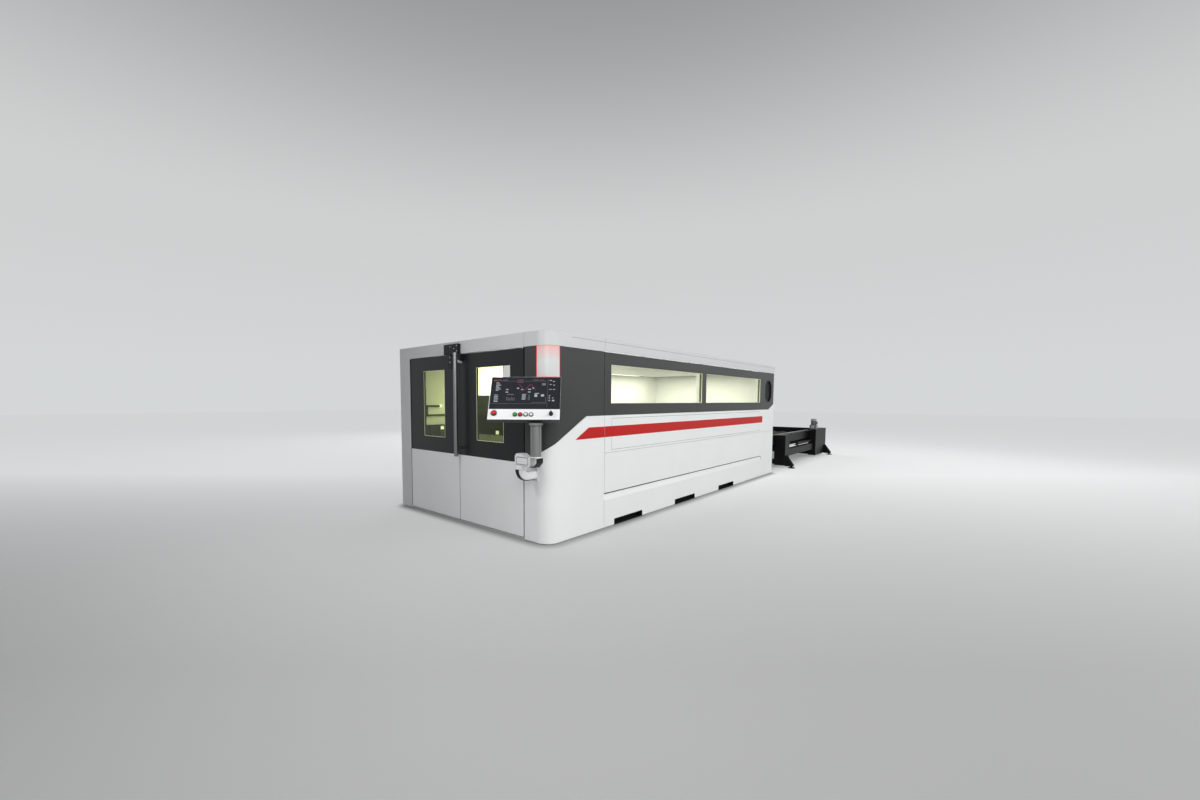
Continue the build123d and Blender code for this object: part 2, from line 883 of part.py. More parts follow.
# Machine bed: two long box beams that carry the gantry, tied by cross beams under the pallets.
bed_rear = cab_length - post - bed_rear_gap
with BuildPart() as machine_bed:
    for side in (-1, 1):
        beam_x = sorted((side * bed_inside, side * (bed_inside + bed_beam)))
        block(beam_x, (bed_front, bed_rear), (bed_bottom, bed_top))
    for y in (bed_front, (bed_front + bed_rear - cross_beam) / 2, bed_rear - cross_beam):
        block((-bed_inside, bed_inside), (y, y + cross_beam), (bed_bottom, bed_bottom + cross_height))
machine_bed.part.label = "machine_bed"
export_step(machine_bed.part, "parts/machine_bed.step")

# Bed feet: square pads with the big levelling nuts, seen through the base cover's pockets.
foot_rows = (
    bed_front + 180,
    pocket_first,
    pocket_first + pocket_pitch,
    pocket_first + 2 * pocket_pitch,
    bed_rear - 180,
)
foot_places = [(side * (bed_inside + bed_beam / 2), y) for side in (-1, 1) for y in foot_rows]
with BuildPart() as bed_feet:
    with BuildSketch(Plane.XY):
        with Locations(*foot_places):
            Rectangle(foot_pad, foot_pad)
    extrude(amount=foot_pad_height)
    with BuildSketch(Plane.XY.offset(foot_pad_height)):
        with Locations(*foot_places):
            RegularPolygon(foot_nut / 2, 6)
    extrude(amount=bed_bottom - foot_pad_height)
bed_feet.part.label = "bed_feet"
export_step(bed_feet.part, "parts/bed_feet.step")

# Bed rails: a linear guide for the gantry on top of each bed beam, and flat rails for the pallets on
# two levels along its inside.
rail_x = bed_inside + bed_beam / 2
lower_level = upper_level - level_pitch
with BuildPart() as bed_rails:
    for side in (-1, 1):
        with BuildSketch(upright(bed_rear - 30)):
            with Locations((side * rail_x, bed_top)):
                Polygon(
                    (-gantry_rail / 2, 0),
                    (gantry_rail / 2, 0),
                    (gantry_rail / 2, 8),
                    (gantry_rail / 2 - 5, 13),
                    (gantry_rail / 2, 18),
                    (gantry_rail / 2, gantry_rail - 2),
                    (-gantry_rail / 2, gantry_rail - 2),
                    (-gantry_rail / 2, 18),
                    (-gantry_rail / 2 + 5, 13),
                    (-gantry_rail / 2, 8),
                    align=None,
                )
        extrude(amount=bed_rear - bed_front - 60)
        for level in (upper_level, lower_level):
            block(
                sorted((side * rail_inside, side * bed_inside)),
                (bed_front, bed_rear),
                (level - rail_thickness, level),
            )
bed_rails.part.label = "bed_rails"
export_step(bed_rails.part, "parts/bed_rails.step")

# Gantry beam: a hollow box beam on two trucks that straddle the guides, with the cross slide's rails
# on its face and the cable chain's trough on its back.
truck_z = (bed_top + slide_gap, bed_top + slide_gap + truck_height)
beam_z = (truck_z[1], truck_z[1] + beam_height)
beam_y = (gantry_y - beam_depth / 2, gantry_y + beam_depth / 2)
beam_x = (-rail_x - truck_width / 2, rail_x + truck_width / 2)
with BuildPart() as gantry_beam:
    for side in (-1, 1):
        place = (side * rail_x - truck_width / 2, side * rail_x + truck_width / 2)
        block(place, (gantry_y - truck_length / 2, gantry_y + truck_length / 2), truck_z)
        groove = (side * rail_x - gantry_rail / 2 - slide_gap, side * rail_x + gantry_rail / 2 + slide_gap)
        block(
            groove,
            (gantry_y - truck_length, gantry_y + truck_length),
            (bed_top, bed_top + gantry_rail - 2 + slide_gap),
            Mode.SUBTRACT,
        )
    block(beam_x, beam_y, beam_z)
    block(
        (beam_x[0] - 1, beam_x[1] + 1),
        (beam_y[0] + beam_wall, beam_y[1] - beam_wall),
        (beam_z[0] + beam_wall, beam_z[1] - beam_wall),
        Mode.SUBTRACT,
    )
    for z in (beam_z[0] + 15, beam_z[1] - 15 - x_rail):
        block((-bed_inside + 20, bed_inside - 20), (beam_y[0] - x_rail, beam_y[0]), (z, z + x_rail))
    trough_x = (-bed_inside + 20, bed_inside - 20)
    trough_y = (beam_y[1] - trough_width, beam_y[1])
    block(trough_x, trough_y, (beam_z[1], beam_z[1] + trough_height))
    block(
        trough_x,
        (trough_y[0] + trough_wall, trough_y[1] - trough_wall),
        (beam_z[1] + trough_wall, beam_z[1] + trough_height + 1),
        Mode.SUBTRACT,
    )
gantry_beam.part.label = "gantry_beam"
export_step(gantry_beam.part, "parts/gantry_beam.step")

# Carriage: the plate that runs along the beam, and the tall hood round the cutting head.
plate_y = (beam_y[0] - x_rail - slide_gap - carriage_plate, beam_y[0] - x_rail - slide_gap)
hood_y = (plate_y[0] - hood_depth, plate_y[0])
carriage_span = (carriage_x - carriage_width / 2, carriage_x + carriage_width / 2)
with BuildPart() as carriage:
    block(
        (carriage_span[0] + 40, carriage_span[1] - 40),
        plate_y,
        (beam_z[0] + 5, beam_z[1] + 20),
    )
    block(carriage_span, hood_y, (carriage_bottom, carriage_top))
    chamfer(carriage.edges().filter_by(Axis.Z).group_by(Axis.Y)[0], hood_corner)
    block(
        (carriage_span[0] + hood_corner, carriage_span[1] - hood_corner),
        (hood_y[0] + hood_wall, hood_y[1] - hood_wall),
        (carriage_bottom - 1, carriage_top - hood_wall),
        Mode.SUBTRACT,
    )
carriage.part.label = "carriage"
export_step(carriage.part, "parts/carriage.step")

# Cutting head: the upright body with its nozzle cone, and the square slide behind it.
head_y = sum(hood_y) / 2
head_top = carriage_top - 60
with BuildPart() as cutting_head:
    with BuildSketch(Plane.XY.offset(head_tip)):
        with Locations((carriage_x, head_y)):
            RegularPolygon(6, nozzle_sides)
    with BuildSketch(Plane.XY.offset(head_tip + nozzle_height)):
        with Locations((carriage_x, head_y)):
            RegularPolygon(head_radius, nozzle_sides)
    loft()
    with BuildSketch(Plane.XY.offset(head_tip + nozzle_height)):
        with Locations((carriage_x, head_y)):
            RegularPolygon(head_radius, nozzle_sides)
    extrude(amount=head_top - head_tip - nozzle_height)
    block(
        (carriage_x - 60, carriage_x + 60),
        (head_y - head_body / 2, hood_y[1] - hood_wall - slide_gap),
        (head_tip + 210, head_top - 120),
    )
cutting_head.part.label = "cutting_head"
export_step(cutting_head.part, "parts/cutting_head.step")


def pallet_frame(y0, level):
    """Make a pallet's welded frame, with wheels outside its long tubes."""
    base = level + 15
    axle = level + wheel / 2 + wheel_clearance
    rear = y0 + pallet_length
    with BuildPart() as frame:
        for side in (-1, 1):
            tube = sorted((side * pallet_half, side * (pallet_half - pallet_tube)))
            block(tube, (y0, rear), (base, base + pallet_tube_height))
            middle_bar = (side * 420 - 20, side * 420 + 20)
            block(middle_bar, (y0 + pallet_tube, rear - pallet_tube), (base, base + bearer))
        inner = (-pallet_half + pallet_tube, pallet_half - pallet_tube)
        block(inner, (y0, y0 + pallet_tube), (base, base + pallet_tube_height))
        block(inner, (rear - pallet_tube, rear), (base, base + pallet_tube_height))
        wheel_step = (pallet_length - 400) / (wheel_count - 1)
        for side in (-1, 1):
            edge = side * pallet_half
            for number in range(wheel_count):
                y = y0 + 200 + number * wheel_step
                out = edge + side * (wheel_width + 12)
                block(sorted((edge, out)), (y - 15, y + 15), (axle - 15, axle + 15))
                with BuildSketch(Plane.YZ.offset(min(edge + side * 12, out))):
                    with Locations((y, axle)):
                        RegularPolygon(wheel / 2, wheel_sides)
                extrude(amount=wheel_width)
    return frame


def pallet_slats(y0, level):
    """Make a pallet's slats: upright strips with a sawtooth edge that carries the sheet."""
    low = level + 15 + bearer
    half = pallet_half - pallet_tube
    pitch = (pallet_length - 2 * pallet_tube) / slat_count
    tooth = 2 * half / tooth_count
    edge = [(-half, low), (half, low), (half, low + slat_height - tooth_depth)]
    for number in range(tooth_count):
        edge.append((half - (number + 0.5) * tooth, low + slat_height))
        if number < tooth_count - 1:
            edge.append((half - (number + 1) * tooth, low + slat_height - tooth_depth))
    edge.append((-half, low + slat_height - tooth_depth))
    with BuildPart() as slats:
        for number in range(slat_count):
            y = y0 + pallet_tube + (number + 0.5) * pitch
            with BuildSketch(upright(y + slat_thickness / 2)):
                Polygon(*edge, align=None)
            extrude(amount=slat_thickness)
    return slats


for name, y0, level in (
    ("pallet_1", pallet_front, upper_level),
    ("pallet_2", pallet_front + pallet_travel, lower_level),
):
    frame_part = pallet_frame(y0, level)
    frame_part.part.label = f"{name}_frame"
    export_step(frame_part.part, f"parts/{name}_frame.step")
    slats_part = pallet_slats(y0, level)
    slats_part.part.label = f"{name}_slats"
    export_step(slats_part.part, f"parts/{name}_slats.step")

# Shuttle posts: closed columns beside the table, the far pair long enough for the chain drive, with a
# hook for hoses on the right one.
near_post_y = (near_post_front, near_post_front + near_post_length)
far_post_y = (table_end - far_post_length, table_end)
post_in = side_beam_in + side_beam
post_spans = (
    (near_post_width, near_post_y, side_beam_top),
    (far_post_width, far_post_y, side_beam_top + 15),
)
with BuildPart() as shuttle_posts:
    for width, span, top in post_spans:
        for side in (-1, 1):
            middle = side * (post_in + width / 2)
            with BuildSketch(Plane.XY.offset(post_lift)) as outline:
                with Locations((middle, sum(span) / 2)):
                    Rectangle(width, span[1] - span[0])
                chamfer(outline.vertices(), post_corner)
            extrude(amount=top - post_lift)
    hook_rear = table_end + hook_reach
    with BuildSketch(Plane.YZ.offset(post_in + far_post_width / 2 - hook_width / 2)):
        Polygon(
            (table_end, hook_height),
            (hook_rear, hook_height),
            (hook_rear, hook_height + hook_rise),
            (hook_rear - hook_bar, hook_height + hook_rise),
            (hook_rear - hook_bar, hook_height + hook_bar),
            (table_end, hook_height + hook_bar),
            align=None,
        )
    extrude(amount=hook_width)
shuttle_posts.part.label = "shuttle_posts"
export_step(shuttle_posts.part, "parts/shuttle_posts.step")

# Shuttle beams: plate beams along the table, low box beams between the posts, ties and the end beam.
beam_start = cab_length + table_gap
with BuildPart() as shuttle_beams:
    for side in (-1, 1):
        web = sorted((side * side_beam_in, side * (side_beam_in + side_beam)))
        block(web, (beam_start, far_post_y[0] + 180), (side_beam_bottom, side_beam_top))
        low_x = sorted((side * post_in, side * (post_in + low_beam_width)))
        block(low_x, (near_post_y[1], far_post_y[0]), (low_beam_bottom, low_beam_top))
    for y in (near_post_y[0] + 60, far_post_y[0] + 60):
        block((-post_in, post_in), (y, y + tie_height), (post_lift + 15, post_lift + 15 + tie_height))
    end_y = (table_end - end_beam_inset, table_end - end_beam_inset + tie_height)
    block((-post_in, post_in), end_y, (side_beam_top + 10 - end_beam_height, side_beam_top + 10))
shuttle_beams.part.label = "shuttle_beams"
export_step(shuttle_beams.part, "parts/shuttle_beams.step")

# Shuttle feet: splayed brackets with a stud and a round pad, outside each post.
foot_spots = (
    (near_post_width, near_post_y[0] + 10),
    (far_post_width, far_post_y[1] - table_foot_inset),
)
with BuildPart() as shuttle_feet:
    for width, y in foot_spots:
        for side in (-1, 1):
            face = post_in + width
            pad_x = face + table_foot_reach
            for offset in (0, 90):
                with BuildSketch(upright(y + offset + 14)):
                    Polygon(
                        (side * face, post_lift + gusset_height),
                        (side * face, post_lift + 5),
                        (side * (pad_x + 34), post_lift + 5),
                        (side * (pad_x + 34), post_lift + 25),
                        (side * (face + 18), post_lift + gusset_height),
                        align=None,
                    )
                extrude(amount=14)
            block(
                sorted((side * face, side * (pad_x + 34))),
                (y, y + 104),
                (post_lift - 9, post_lift + 5),
            )
            with BuildSketch(Plane.XY):
                with Locations((side * pad_x, y + 52)):
                    RegularPolygon(68, 20)
            extrude(amount=16)
            with BuildSketch(Plane.XY.offset(16)):
                with Locations((side * pad_x, y + 52)):
                    RegularPolygon(22, 6)
            extrude(amount=post_lift - 25)
shuttle_feet.part.label = "shuttle_feet"
export_step(shuttle_feet.part, "parts/shuttle_feet.step")

# Lift frame: the table's moving cradle, with both rail levels, cross members and guide shoes.
lift_y = (cab_length + lift_front_gap, cab_length + lift_front_gap + lift_length)
lift_in = side_beam_in - 40 - lift_plate
lift_bottom = lower_level - rail_thickness - 54
with BuildPart() as lift_frame:
    for side in (-1, 1):
        block(sorted((side * lift_in, side * (lift_in + lift_plate))), lift_y, (lift_bottom, upper_level))
        for level in (upper_level, lower_level):
            block(sorted((side * rail_inside, side * lift_in)), lift_y, (level - rail_thickness, level))
        for y in (near_post_y[0] + 80, far_post_y[0] + 40):
            block(
                sorted((side * (lift_in + lift_plate), side * (side_beam_in - slide_gap))),
                (y, y + 90),
                (lift_bottom + 10, upper_level - 20),
            )
    for y in (lift_y[0] + lift_cross_first, sum(lift_y) / 2, lift_y[1] - lift_cross_last):
        block((-lift_in, lift_in), (y, y + lift_cross), (lift_bottom, lower_level - rail_thickness))
lift_frame.part.label = "lift_frame"
export_step(lift_frame.part, "parts/lift_frame.step")

# Lift cylinders and rods: they lie in the gap between the table's side beams and pull the lift's chains.
cylinder_z = (low_beam_top + side_beam_bottom) / 2
cylinder_x = post_in + low_beam_width / 2
cylinder_y = (far_post_y[0] - cylinder_length, far_post_y[0])
with BuildPart() as lift_cylinders:
    for side in (-1, 1):
        with BuildSketch(upright(cylinder_y[1])):
            with Locations((side * cylinder_x, cylinder_z)):
                Circle(cylinder / 2)
        extrude(amount=cylinder_length)
        block(
            (side * cylinder_x - cylinder / 2 - 4, side * cylinder_x + cylinder / 2 + 4),
            (cylinder_y[0], cylinder_y[0] + 50),
            (cylinder_z - cylinder / 2 - 4, cylinder_z + cylinder / 2 + 4),
        )
        with BuildSketch(upright(cylinder_y[1] - 40)):
            with Locations((side * cylinder_x, cylinder_z)):
                Circle(rod / 2 + rod_clearance)
        extrude(amount=cylinder_length - 30, mode=Mode.SUBTRACT)
lift_cylinders.part.label = "lift_cylinders"
export_step(lift_cylinders.part, "parts/lift_cylinders.step")

rod_start = near_post_y[1] + 40
with BuildPart() as lift_rods:
    for side in (-1, 1):
        with BuildSketch(upright(rod_start + rod_length)):
            with Locations((side * cylinder_x, cylinder_z)):
                Circle(rod / 2)
        extrude(amount=rod_length)
        block(
            (side * cylinder_x - 26, side * cylinder_x + 26),
            (rod_start - 6, rod_start + 60),
            (cylinder_z - 26, cylinder_z + 26),
        )
lift_rods.part.label = "lift_rods"
export_step(lift_rods.part, "parts/lift_rods.step")

# Drive motor: a geared motor standing on the far post, with its terminal box and fan cover.
motor_x = post_in + far_post_width / 2
motor_y = far_post_y[0] + 110
motor_base = side_beam_top + 15
with BuildPart() as drive_motor:
    block(
        (motor_x - motor_body / 2 - 10, motor_x + motor_body / 2 + 10),
        (motor_y - motor_body / 2 - 10, motor_y + motor_body / 2 + 10),
        (motor_base, motor_base + gearbox_height),
    )
    chamfer(drive_motor.faces().sort_by(Axis.Z)[-1].edges(), 12)
    with BuildSketch(Plane.XY.offset(motor_base + gearbox_height)):
        with Locations((motor_x, motor_y)):
            RegularPolygon(motor_body / 2 - 8, 20)
    extrude(amount=motor_height - fan_cover)
    with BuildSketch(Plane.XY.offset(motor_base + gearbox_height + motor_height - fan_cover)):
        with Locations((motor_x, motor_y)):
            RegularPolygon(motor_body / 2, 20)
    extrude(amount=fan_cover)
    block(
        (motor_x + motor_body / 2 - 22, motor_x + motor_body / 2 + 22),
        (motor_y - 34, motor_y + 34),
        (motor_base + gearbox_height + 14, motor_base + gearbox_height + 84),
    )
drive_motor.part.label = "drive_motor"
export_step(drive_motor.part, "parts/drive_motor.step")

# Arm wall elbow: a cast bend from the corner cover up to the swivel.
arm_y = -arm_out
disc_z = elbow_height + elbow_bend
with BuildPart() as arm_wall_elbow:
    with BuildSketch(upright(0)) as plate:
        with Locations((arm_x, elbow_height)):
            Rectangle(wall_plate, wall_plate_height)
        chamfer(plate.vertices(), 10)
    extrude(amount=wall_plate_depth)
    bend_start = arm_y + elbow_bend
    with BuildSketch(upright(-wall_plate_depth)) as section:
        with Locations((arm_x, elbow_height)):
            Rectangle(elbow_width, elbow_width)
        chamfer(section.vertices(), elbow_corner)
    extrude(amount=-wall_plate_depth - bend_start)
    with BuildSketch(upright(bend_start)) as section:
        with Locations((arm_x, elbow_height)):
            Rectangle(elbow_width, elbow_width)
        chamfer(section.vertices(), elbow_corner)
    revolve(axis=Axis((arm_x, bend_start, disc_z), (-1, 0, 0)), revolution_arc=90)
    with BuildSketch(Plane.XY.offset(disc_z)):
        with Locations((arm_x, arm_y)):
            Circle(swivel_disc / 2 - 3)
    extrude(amount=swivel_disc_height)
arm_wall_elbow.part.label = "arm_wall_elbow"
export_step(arm_wall_elbow.part, "parts/arm_wall_elbow.step")

# Arm elbow strip: the black cable cover along the outside of the bend.
strip = 6
with BuildPart() as arm_elbow_strip:
    with BuildSketch(Plane.YZ.offset(arm_x - 20)):
        with BuildLine():
            outer = elbow_bend + elbow_width / 2
            under = elbow_height - elbow_width / 2
            Polyline(
                (bend_start, under),
                (-wall_plate_depth - 4, under),
                (-wall_plate_depth - 4, under - strip),
                (bend_start, under - strip),
            )
            CenterArc((bend_start, disc_z), outer + strip, 180, 90)
            Line((bend_start - outer - strip, disc_z), (bend_start - outer, disc_z))
            CenterArc((bend_start, disc_z), outer, 180, 90)
        make_face()
    extrude(amount=40)
arm_elbow_strip.part.label = "arm_elbow_strip"
export_step(arm_elbow_strip.part, "parts/arm_elbow_strip.step")

# Arm upper elbow: the turning half of the swivel and the cast box that carries the tube.
arm_disc = disc_z + swivel_disc_height + swivel_gap
box_z = (arm_disc + swivel_disc_height, arm_disc + swivel_disc_height + arm_box_height)
tube_x = arm_x + arm_reach
box_x = (arm_x - swivel_disc / 2 + 8, tube_x + arm_tube_width / 2)
cap = 6
with BuildPart() as arm_upper_elbow:
    with BuildSketch(upright(arm_y + arm_box_width / 2)):
        Polygon(
            (box_x[0], box_z[0]),
            (box_x[1] - 42, box_z[0]),
            (box_x[1], box_z[0] + 42),
            (box_x[1], box_z[1]),
            (box_x[0] + 30, box_z[1]),
            (box_x[0], box_z[1] - 34),
            align=None,
        )
    extrude(amount=arm_box_width)
    chamfer(arm_upper_elbow.edges().filter_by(Axis.X).group_by(Axis.Z)[-1], 10)
    with BuildSketch(Plane.XY.offset(arm_disc)):
        with Locations((arm_x, arm_y)):
            Circle(swivel_disc / 2)
    extrude(amount=swivel_disc_height)
arm_upper_elbow.part.label = "arm_upper_elbow"
export_step(arm_upper_elbow.part, "parts/arm_upper_elbow.step")

# Arm end cap: the black cover over the box's outer end, under the tube.
with BuildPart() as arm_end_cap:
    with BuildSketch(upright(arm_y + arm_box_width / 2 - 4)):
        Polygon(
            (box_x[1], box_z[1] - 6),
            (box_x[1], box_z[0] + 42),
            (box_x[1] - 42, box_z[0]),
            (box_x[1] - 90, box_z[0]),
            (box_x[1] - 90, box_z[0] - cap),
            (box_x[1] - 42 + cap / 2, box_z[0] - cap),
            (box_x[1] + cap, box_z[0] + 42 - cap / 2),
            (box_x[1] + cap, box_z[1] - 6),
            align=None,
        )
    extrude(amount=arm_box_width - 8)
arm_end_cap.part.label = "arm_end_cap"
export_step(arm_end_cap.part, "parts/arm_end_cap.step")

# Arm tube: an extruded profile with a groove down each face.
with BuildPart() as arm_tube:
    with BuildSketch(Plane.XY.offset(box_z[1])):
        with Locations((tube_x, arm_y)):
            RectangleRounded(arm_tube_width, arm_tube_depth, 26)
        for side in (-1, 1):
            front_groove = (tube_x, arm_y + side * arm_tube_depth / 2)
            side_groove = (tube_x + side * arm_tube_width / 2, arm_y)
            with Locations(front_groove, side_groove):
                Rectangle(8, 8, mode=Mode.SUBTRACT)
    extrude(amount=arm_tube_top - box_z[1])
arm_tube.part.label = "arm_tube"
export_step(arm_tube.part, "parts/arm_tube.step")

# The panel's own plane: origin in the middle of its face, x to its right, y up its face, z out of it.
yaw = math.radians(panel_yaw)
tilt = math.radians(panel_tilt)
ahead = (math.sin(yaw), -math.cos(yaw))
aside = (math.cos(yaw), math.sin(yaw))
face_normal = (ahead[0] * math.cos(tilt), ahead[1] * math.cos(tilt), math.sin(tilt))
rise = panel_height / 2 * math.cos(tilt)
lean = panel_ahead - panel_height / 2 * math.sin(tilt)
panel_centre = (
    tube_x + ahead[0] * lean + aside[0] * panel_aside,
    arm_y + ahead[1] * lean + aside[1] * panel_aside,
    panel_bottom + rise,
)
panel_plane = Plane(panel_centre, x_dir=(aside[0], aside[1], 0), z_dir=face_normal)

# Panel coupling: the turning disc on the tube and the wedge that holds the housing at its tilt.
coupling_z = (arm_tube_top + swivel_gap, panel_bottom - panel_depth * math.sin(tilt) - 1)
back_edge = panel_ahead - panel_depth * math.cos(tilt)
wedge = 60
wedge_plane = Plane((tube_x, arm_y, 0), x_dir=(ahead[0], ahead[1], 0), z_dir=(-aside[0], -aside[1], 0))
with BuildPart() as panel_coupling:
    with BuildSketch(Plane.XY.offset(coupling_z[0])):
        with Locations((tube_x, arm_y)):
            Circle(coupling_disc / 2)
    extrude(amount=coupling_z[1] - coupling_z[0])
    with BuildSketch(wedge_plane):
        edge_z = coupling_z[1] + 1
        Polygon(
            (back_edge - 70, coupling_z[1]),
            (back_edge, coupling_z[1]),
            (back_edge, edge_z),
            (back_edge - wedge * math.sin(tilt), edge_z + wedge * math.cos(tilt)),
            (back_edge - 70, edge_z + wedge * math.cos(tilt) - 20),
            align=None,
        )
    extrude(amount=45, both=True)
panel_coupling.part.label = "panel_coupling"
export_step(panel_coupling.part, "parts/panel_coupling.step")

# Panel housing: the shallow steel box behind the front plate, with the recess for the screen.
front_plate = 4
with BuildPart() as panel_housing:
    with BuildSketch(panel_plane.offset(-panel_depth)):
        Rectangle(panel_width - 6, panel_height - 6)
    extrude(amount=panel_depth - front_plate)
    with BuildSketch(panel_plane.offset(-front_plate)):
        Rectangle(panel_width, panel_height)
    extrude(amount=front_plate)
    with BuildSketch(panel_plane.offset(-screen_sheet)):
        with Locations((0, panel_height / 2 - screen_top_margin - screen_height / 2)):
            Rectangle(screen_width + 1, screen_height + 1)
    extrude(amount=screen_sheet + 1, mode=Mode.SUBTRACT)
panel_housing.part.label = "panel_housing"
export_step(panel_housing.part, "parts/panel_housing.step")

# Screen: the dark touch glass, set flush in the front plate.
with BuildPart() as screen:
    with BuildSketch(panel_plane.offset(-screen_sheet)):
        with Locations((0, panel_height / 2 - screen_top_margin - screen_height / 2)):
            Rectangle(screen_width, screen_height)
    extrude(amount=screen_sheet)
screen.part.label = "screen"
export_step(screen.part, "parts/screen.step")

# The row of controls under the screen: stop button, four push buttons and a turning selector.
button_row = -panel_height / 2 + 60
estop_place = (-275, -panel_height / 2 + 74)
button_places = [((number - 1.6) * button_pitch, button_row) for number in range(4)]
knob_place = (252, -panel_height / 2 + 68)
with BuildPart() as button_bezels:
    with BuildSketch(panel_plane):
        with Locations(*button_places):
            RegularPolygon(button_size / 2 + 5, button_sides)
            RegularPolygon(button_size / 2 + 2 * button_gap, button_sides, mode=Mode.SUBTRACT)
        with Locations(estop_place):
            RegularPolygon(estop_size / 2 + 6, button_sides)
            RegularPolygon(estop_stem / 2 + 2 * button_gap, 8, mode=Mode.SUBTRACT)
        with Locations(knob_place):
            Circle(knob_collar / 2)
    extrude(amount=collar)
button_bezels.part.label = "button_bezels"
export_step(button_bezels.part, "parts/button_bezels.step")

with BuildPart() as estop_button:
    with BuildSketch(panel_plane.offset(button_stroke)):
        with Locations(estop_place):
            RegularPolygon(estop_stem / 2, 8)
    extrude(amount=collar + 1)
    with BuildSketch(panel_plane.offset(collar + button_stroke + 1)):
        with Locations(estop_place):
            RegularPolygon(estop_size / 2, button_sides)
    extrude(amount=14)
estop_button.part.label = "estop_button"
export_step(estop_button.part, "parts/estop_button.step")

for name, place in zip(("green", "red", "white_left", "white_right"), button_places):
    with BuildPart() as push_button:
        with BuildSketch(panel_plane.offset(button_stroke)):
            with Locations(place):
                RegularPolygon(button_size / 2, button_sides)
        extrude(amount=collar + 2)
    push_button.part.label = f"{name}_button"
    export_step(push_button.part, f"parts/{name}_button.step")

with BuildPart() as selector_knob:
    with BuildSketch(panel_plane.offset(collar + button_gap)):
        with Locations(knob_place):
            Polygon((-12, -16), (12, -16), (15, 0), (4, 22), (-4, 22), (-15, 0), align=None)
    extrude(amount=22)
selector_knob.part.label = "selector_knob"
export_step(selector_knob.part, "parts/selector_knob.step")
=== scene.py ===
import math

import bmesh
import bpy
import numpy as np
from mathutils import Matrix, Vector


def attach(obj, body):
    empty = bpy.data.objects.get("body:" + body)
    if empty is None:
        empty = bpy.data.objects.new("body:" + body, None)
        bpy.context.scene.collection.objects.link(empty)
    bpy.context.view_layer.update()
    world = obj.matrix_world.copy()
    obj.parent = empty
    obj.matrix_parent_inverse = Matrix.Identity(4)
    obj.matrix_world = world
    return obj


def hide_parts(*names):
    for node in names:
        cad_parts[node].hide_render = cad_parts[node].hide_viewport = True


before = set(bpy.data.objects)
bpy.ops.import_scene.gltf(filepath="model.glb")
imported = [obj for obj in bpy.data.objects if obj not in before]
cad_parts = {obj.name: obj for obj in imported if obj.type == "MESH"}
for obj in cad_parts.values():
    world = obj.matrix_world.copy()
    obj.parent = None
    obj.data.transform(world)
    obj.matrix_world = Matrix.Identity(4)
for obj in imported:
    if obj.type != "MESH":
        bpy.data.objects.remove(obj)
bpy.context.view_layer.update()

# ---- The view ------------------------------------------------------------------------------------
# Standing off the machine's round corner at eye level, looking along both faces. The wide lens and the
# small shift give the frame that the machine was photographed in.
eye = (4.493, -3.235, 1.426)
turn, dip, lean = math.radians(41.69), math.radians(3.83), math.radians(0.133)
ahead = np.array([-math.sin(turn) * math.cos(dip), math.cos(turn) * math.cos(dip), -math.sin(dip)])
right = np.array([math.cos(turn), math.sin(turn), 0.0])
above = np.cross(right, ahead)
across = math.cos(lean) * right + math.sin(lean) * above
upright = -math.sin(lean) * right + math.cos(lean) * above
view = bpy.data.cameras.new("view")
view.lens = 14.088
view.sensor_width = 36
view.shift_x = 0.02775
view.shift_y = 0.0265
view.clip_end = 200
view_stand = bpy.data.objects.new("view", view)
bpy.context.scene.collection.objects.link(view_stand)
view_stand.matrix_world = Matrix(
    (
        (across[0], upright[0], -ahead[0], eye[0]),
        (across[1], upright[1], -ahead[1], eye[1]),
        (across[2], upright[2], -ahead[2], eye[2]),
        (0, 0, 0, 1),
    )
)
bpy.context.scene.camera = view_stand
bpy.context.scene.view_settings.view_transform = "Standard"

# ---- The studio ----------------------------------------------------------------------------------
# A pale matt floor, an even grey surround and five soft lamps: a broad one over the windowed side, two in
# front of the doors, one by the shuttle table and a far one for the side and the end that face away.


def lay_mesh(name, points, faces, smooth=True):
    """Make an object of the points (rows of x, y, z) and the faces (rows of point numbers)."""
    mesh = bpy.data.meshes.new(name)
    mesh.from_pydata(np.asarray(points, float).tolist(), [], [list(face) for face in faces])
    mesh.polygons.foreach_set("use_smooth", np.full(len(mesh.polygons), smooth))
    if smooth:
        mesh.set_sharp_from_angle(angle=math.radians(35))
    mesh.update()
    made = bpy.data.objects.new(name, mesh)
    bpy.context.scene.collection.objects.link(made)
    return made


def new_finish(name):
    """Start a finish, and give it with its nodes and its links."""
    made = bpy.data.materials.new(name)
    made.use_nodes = True
    return made, made.node_tree.nodes, made.node_tree.links


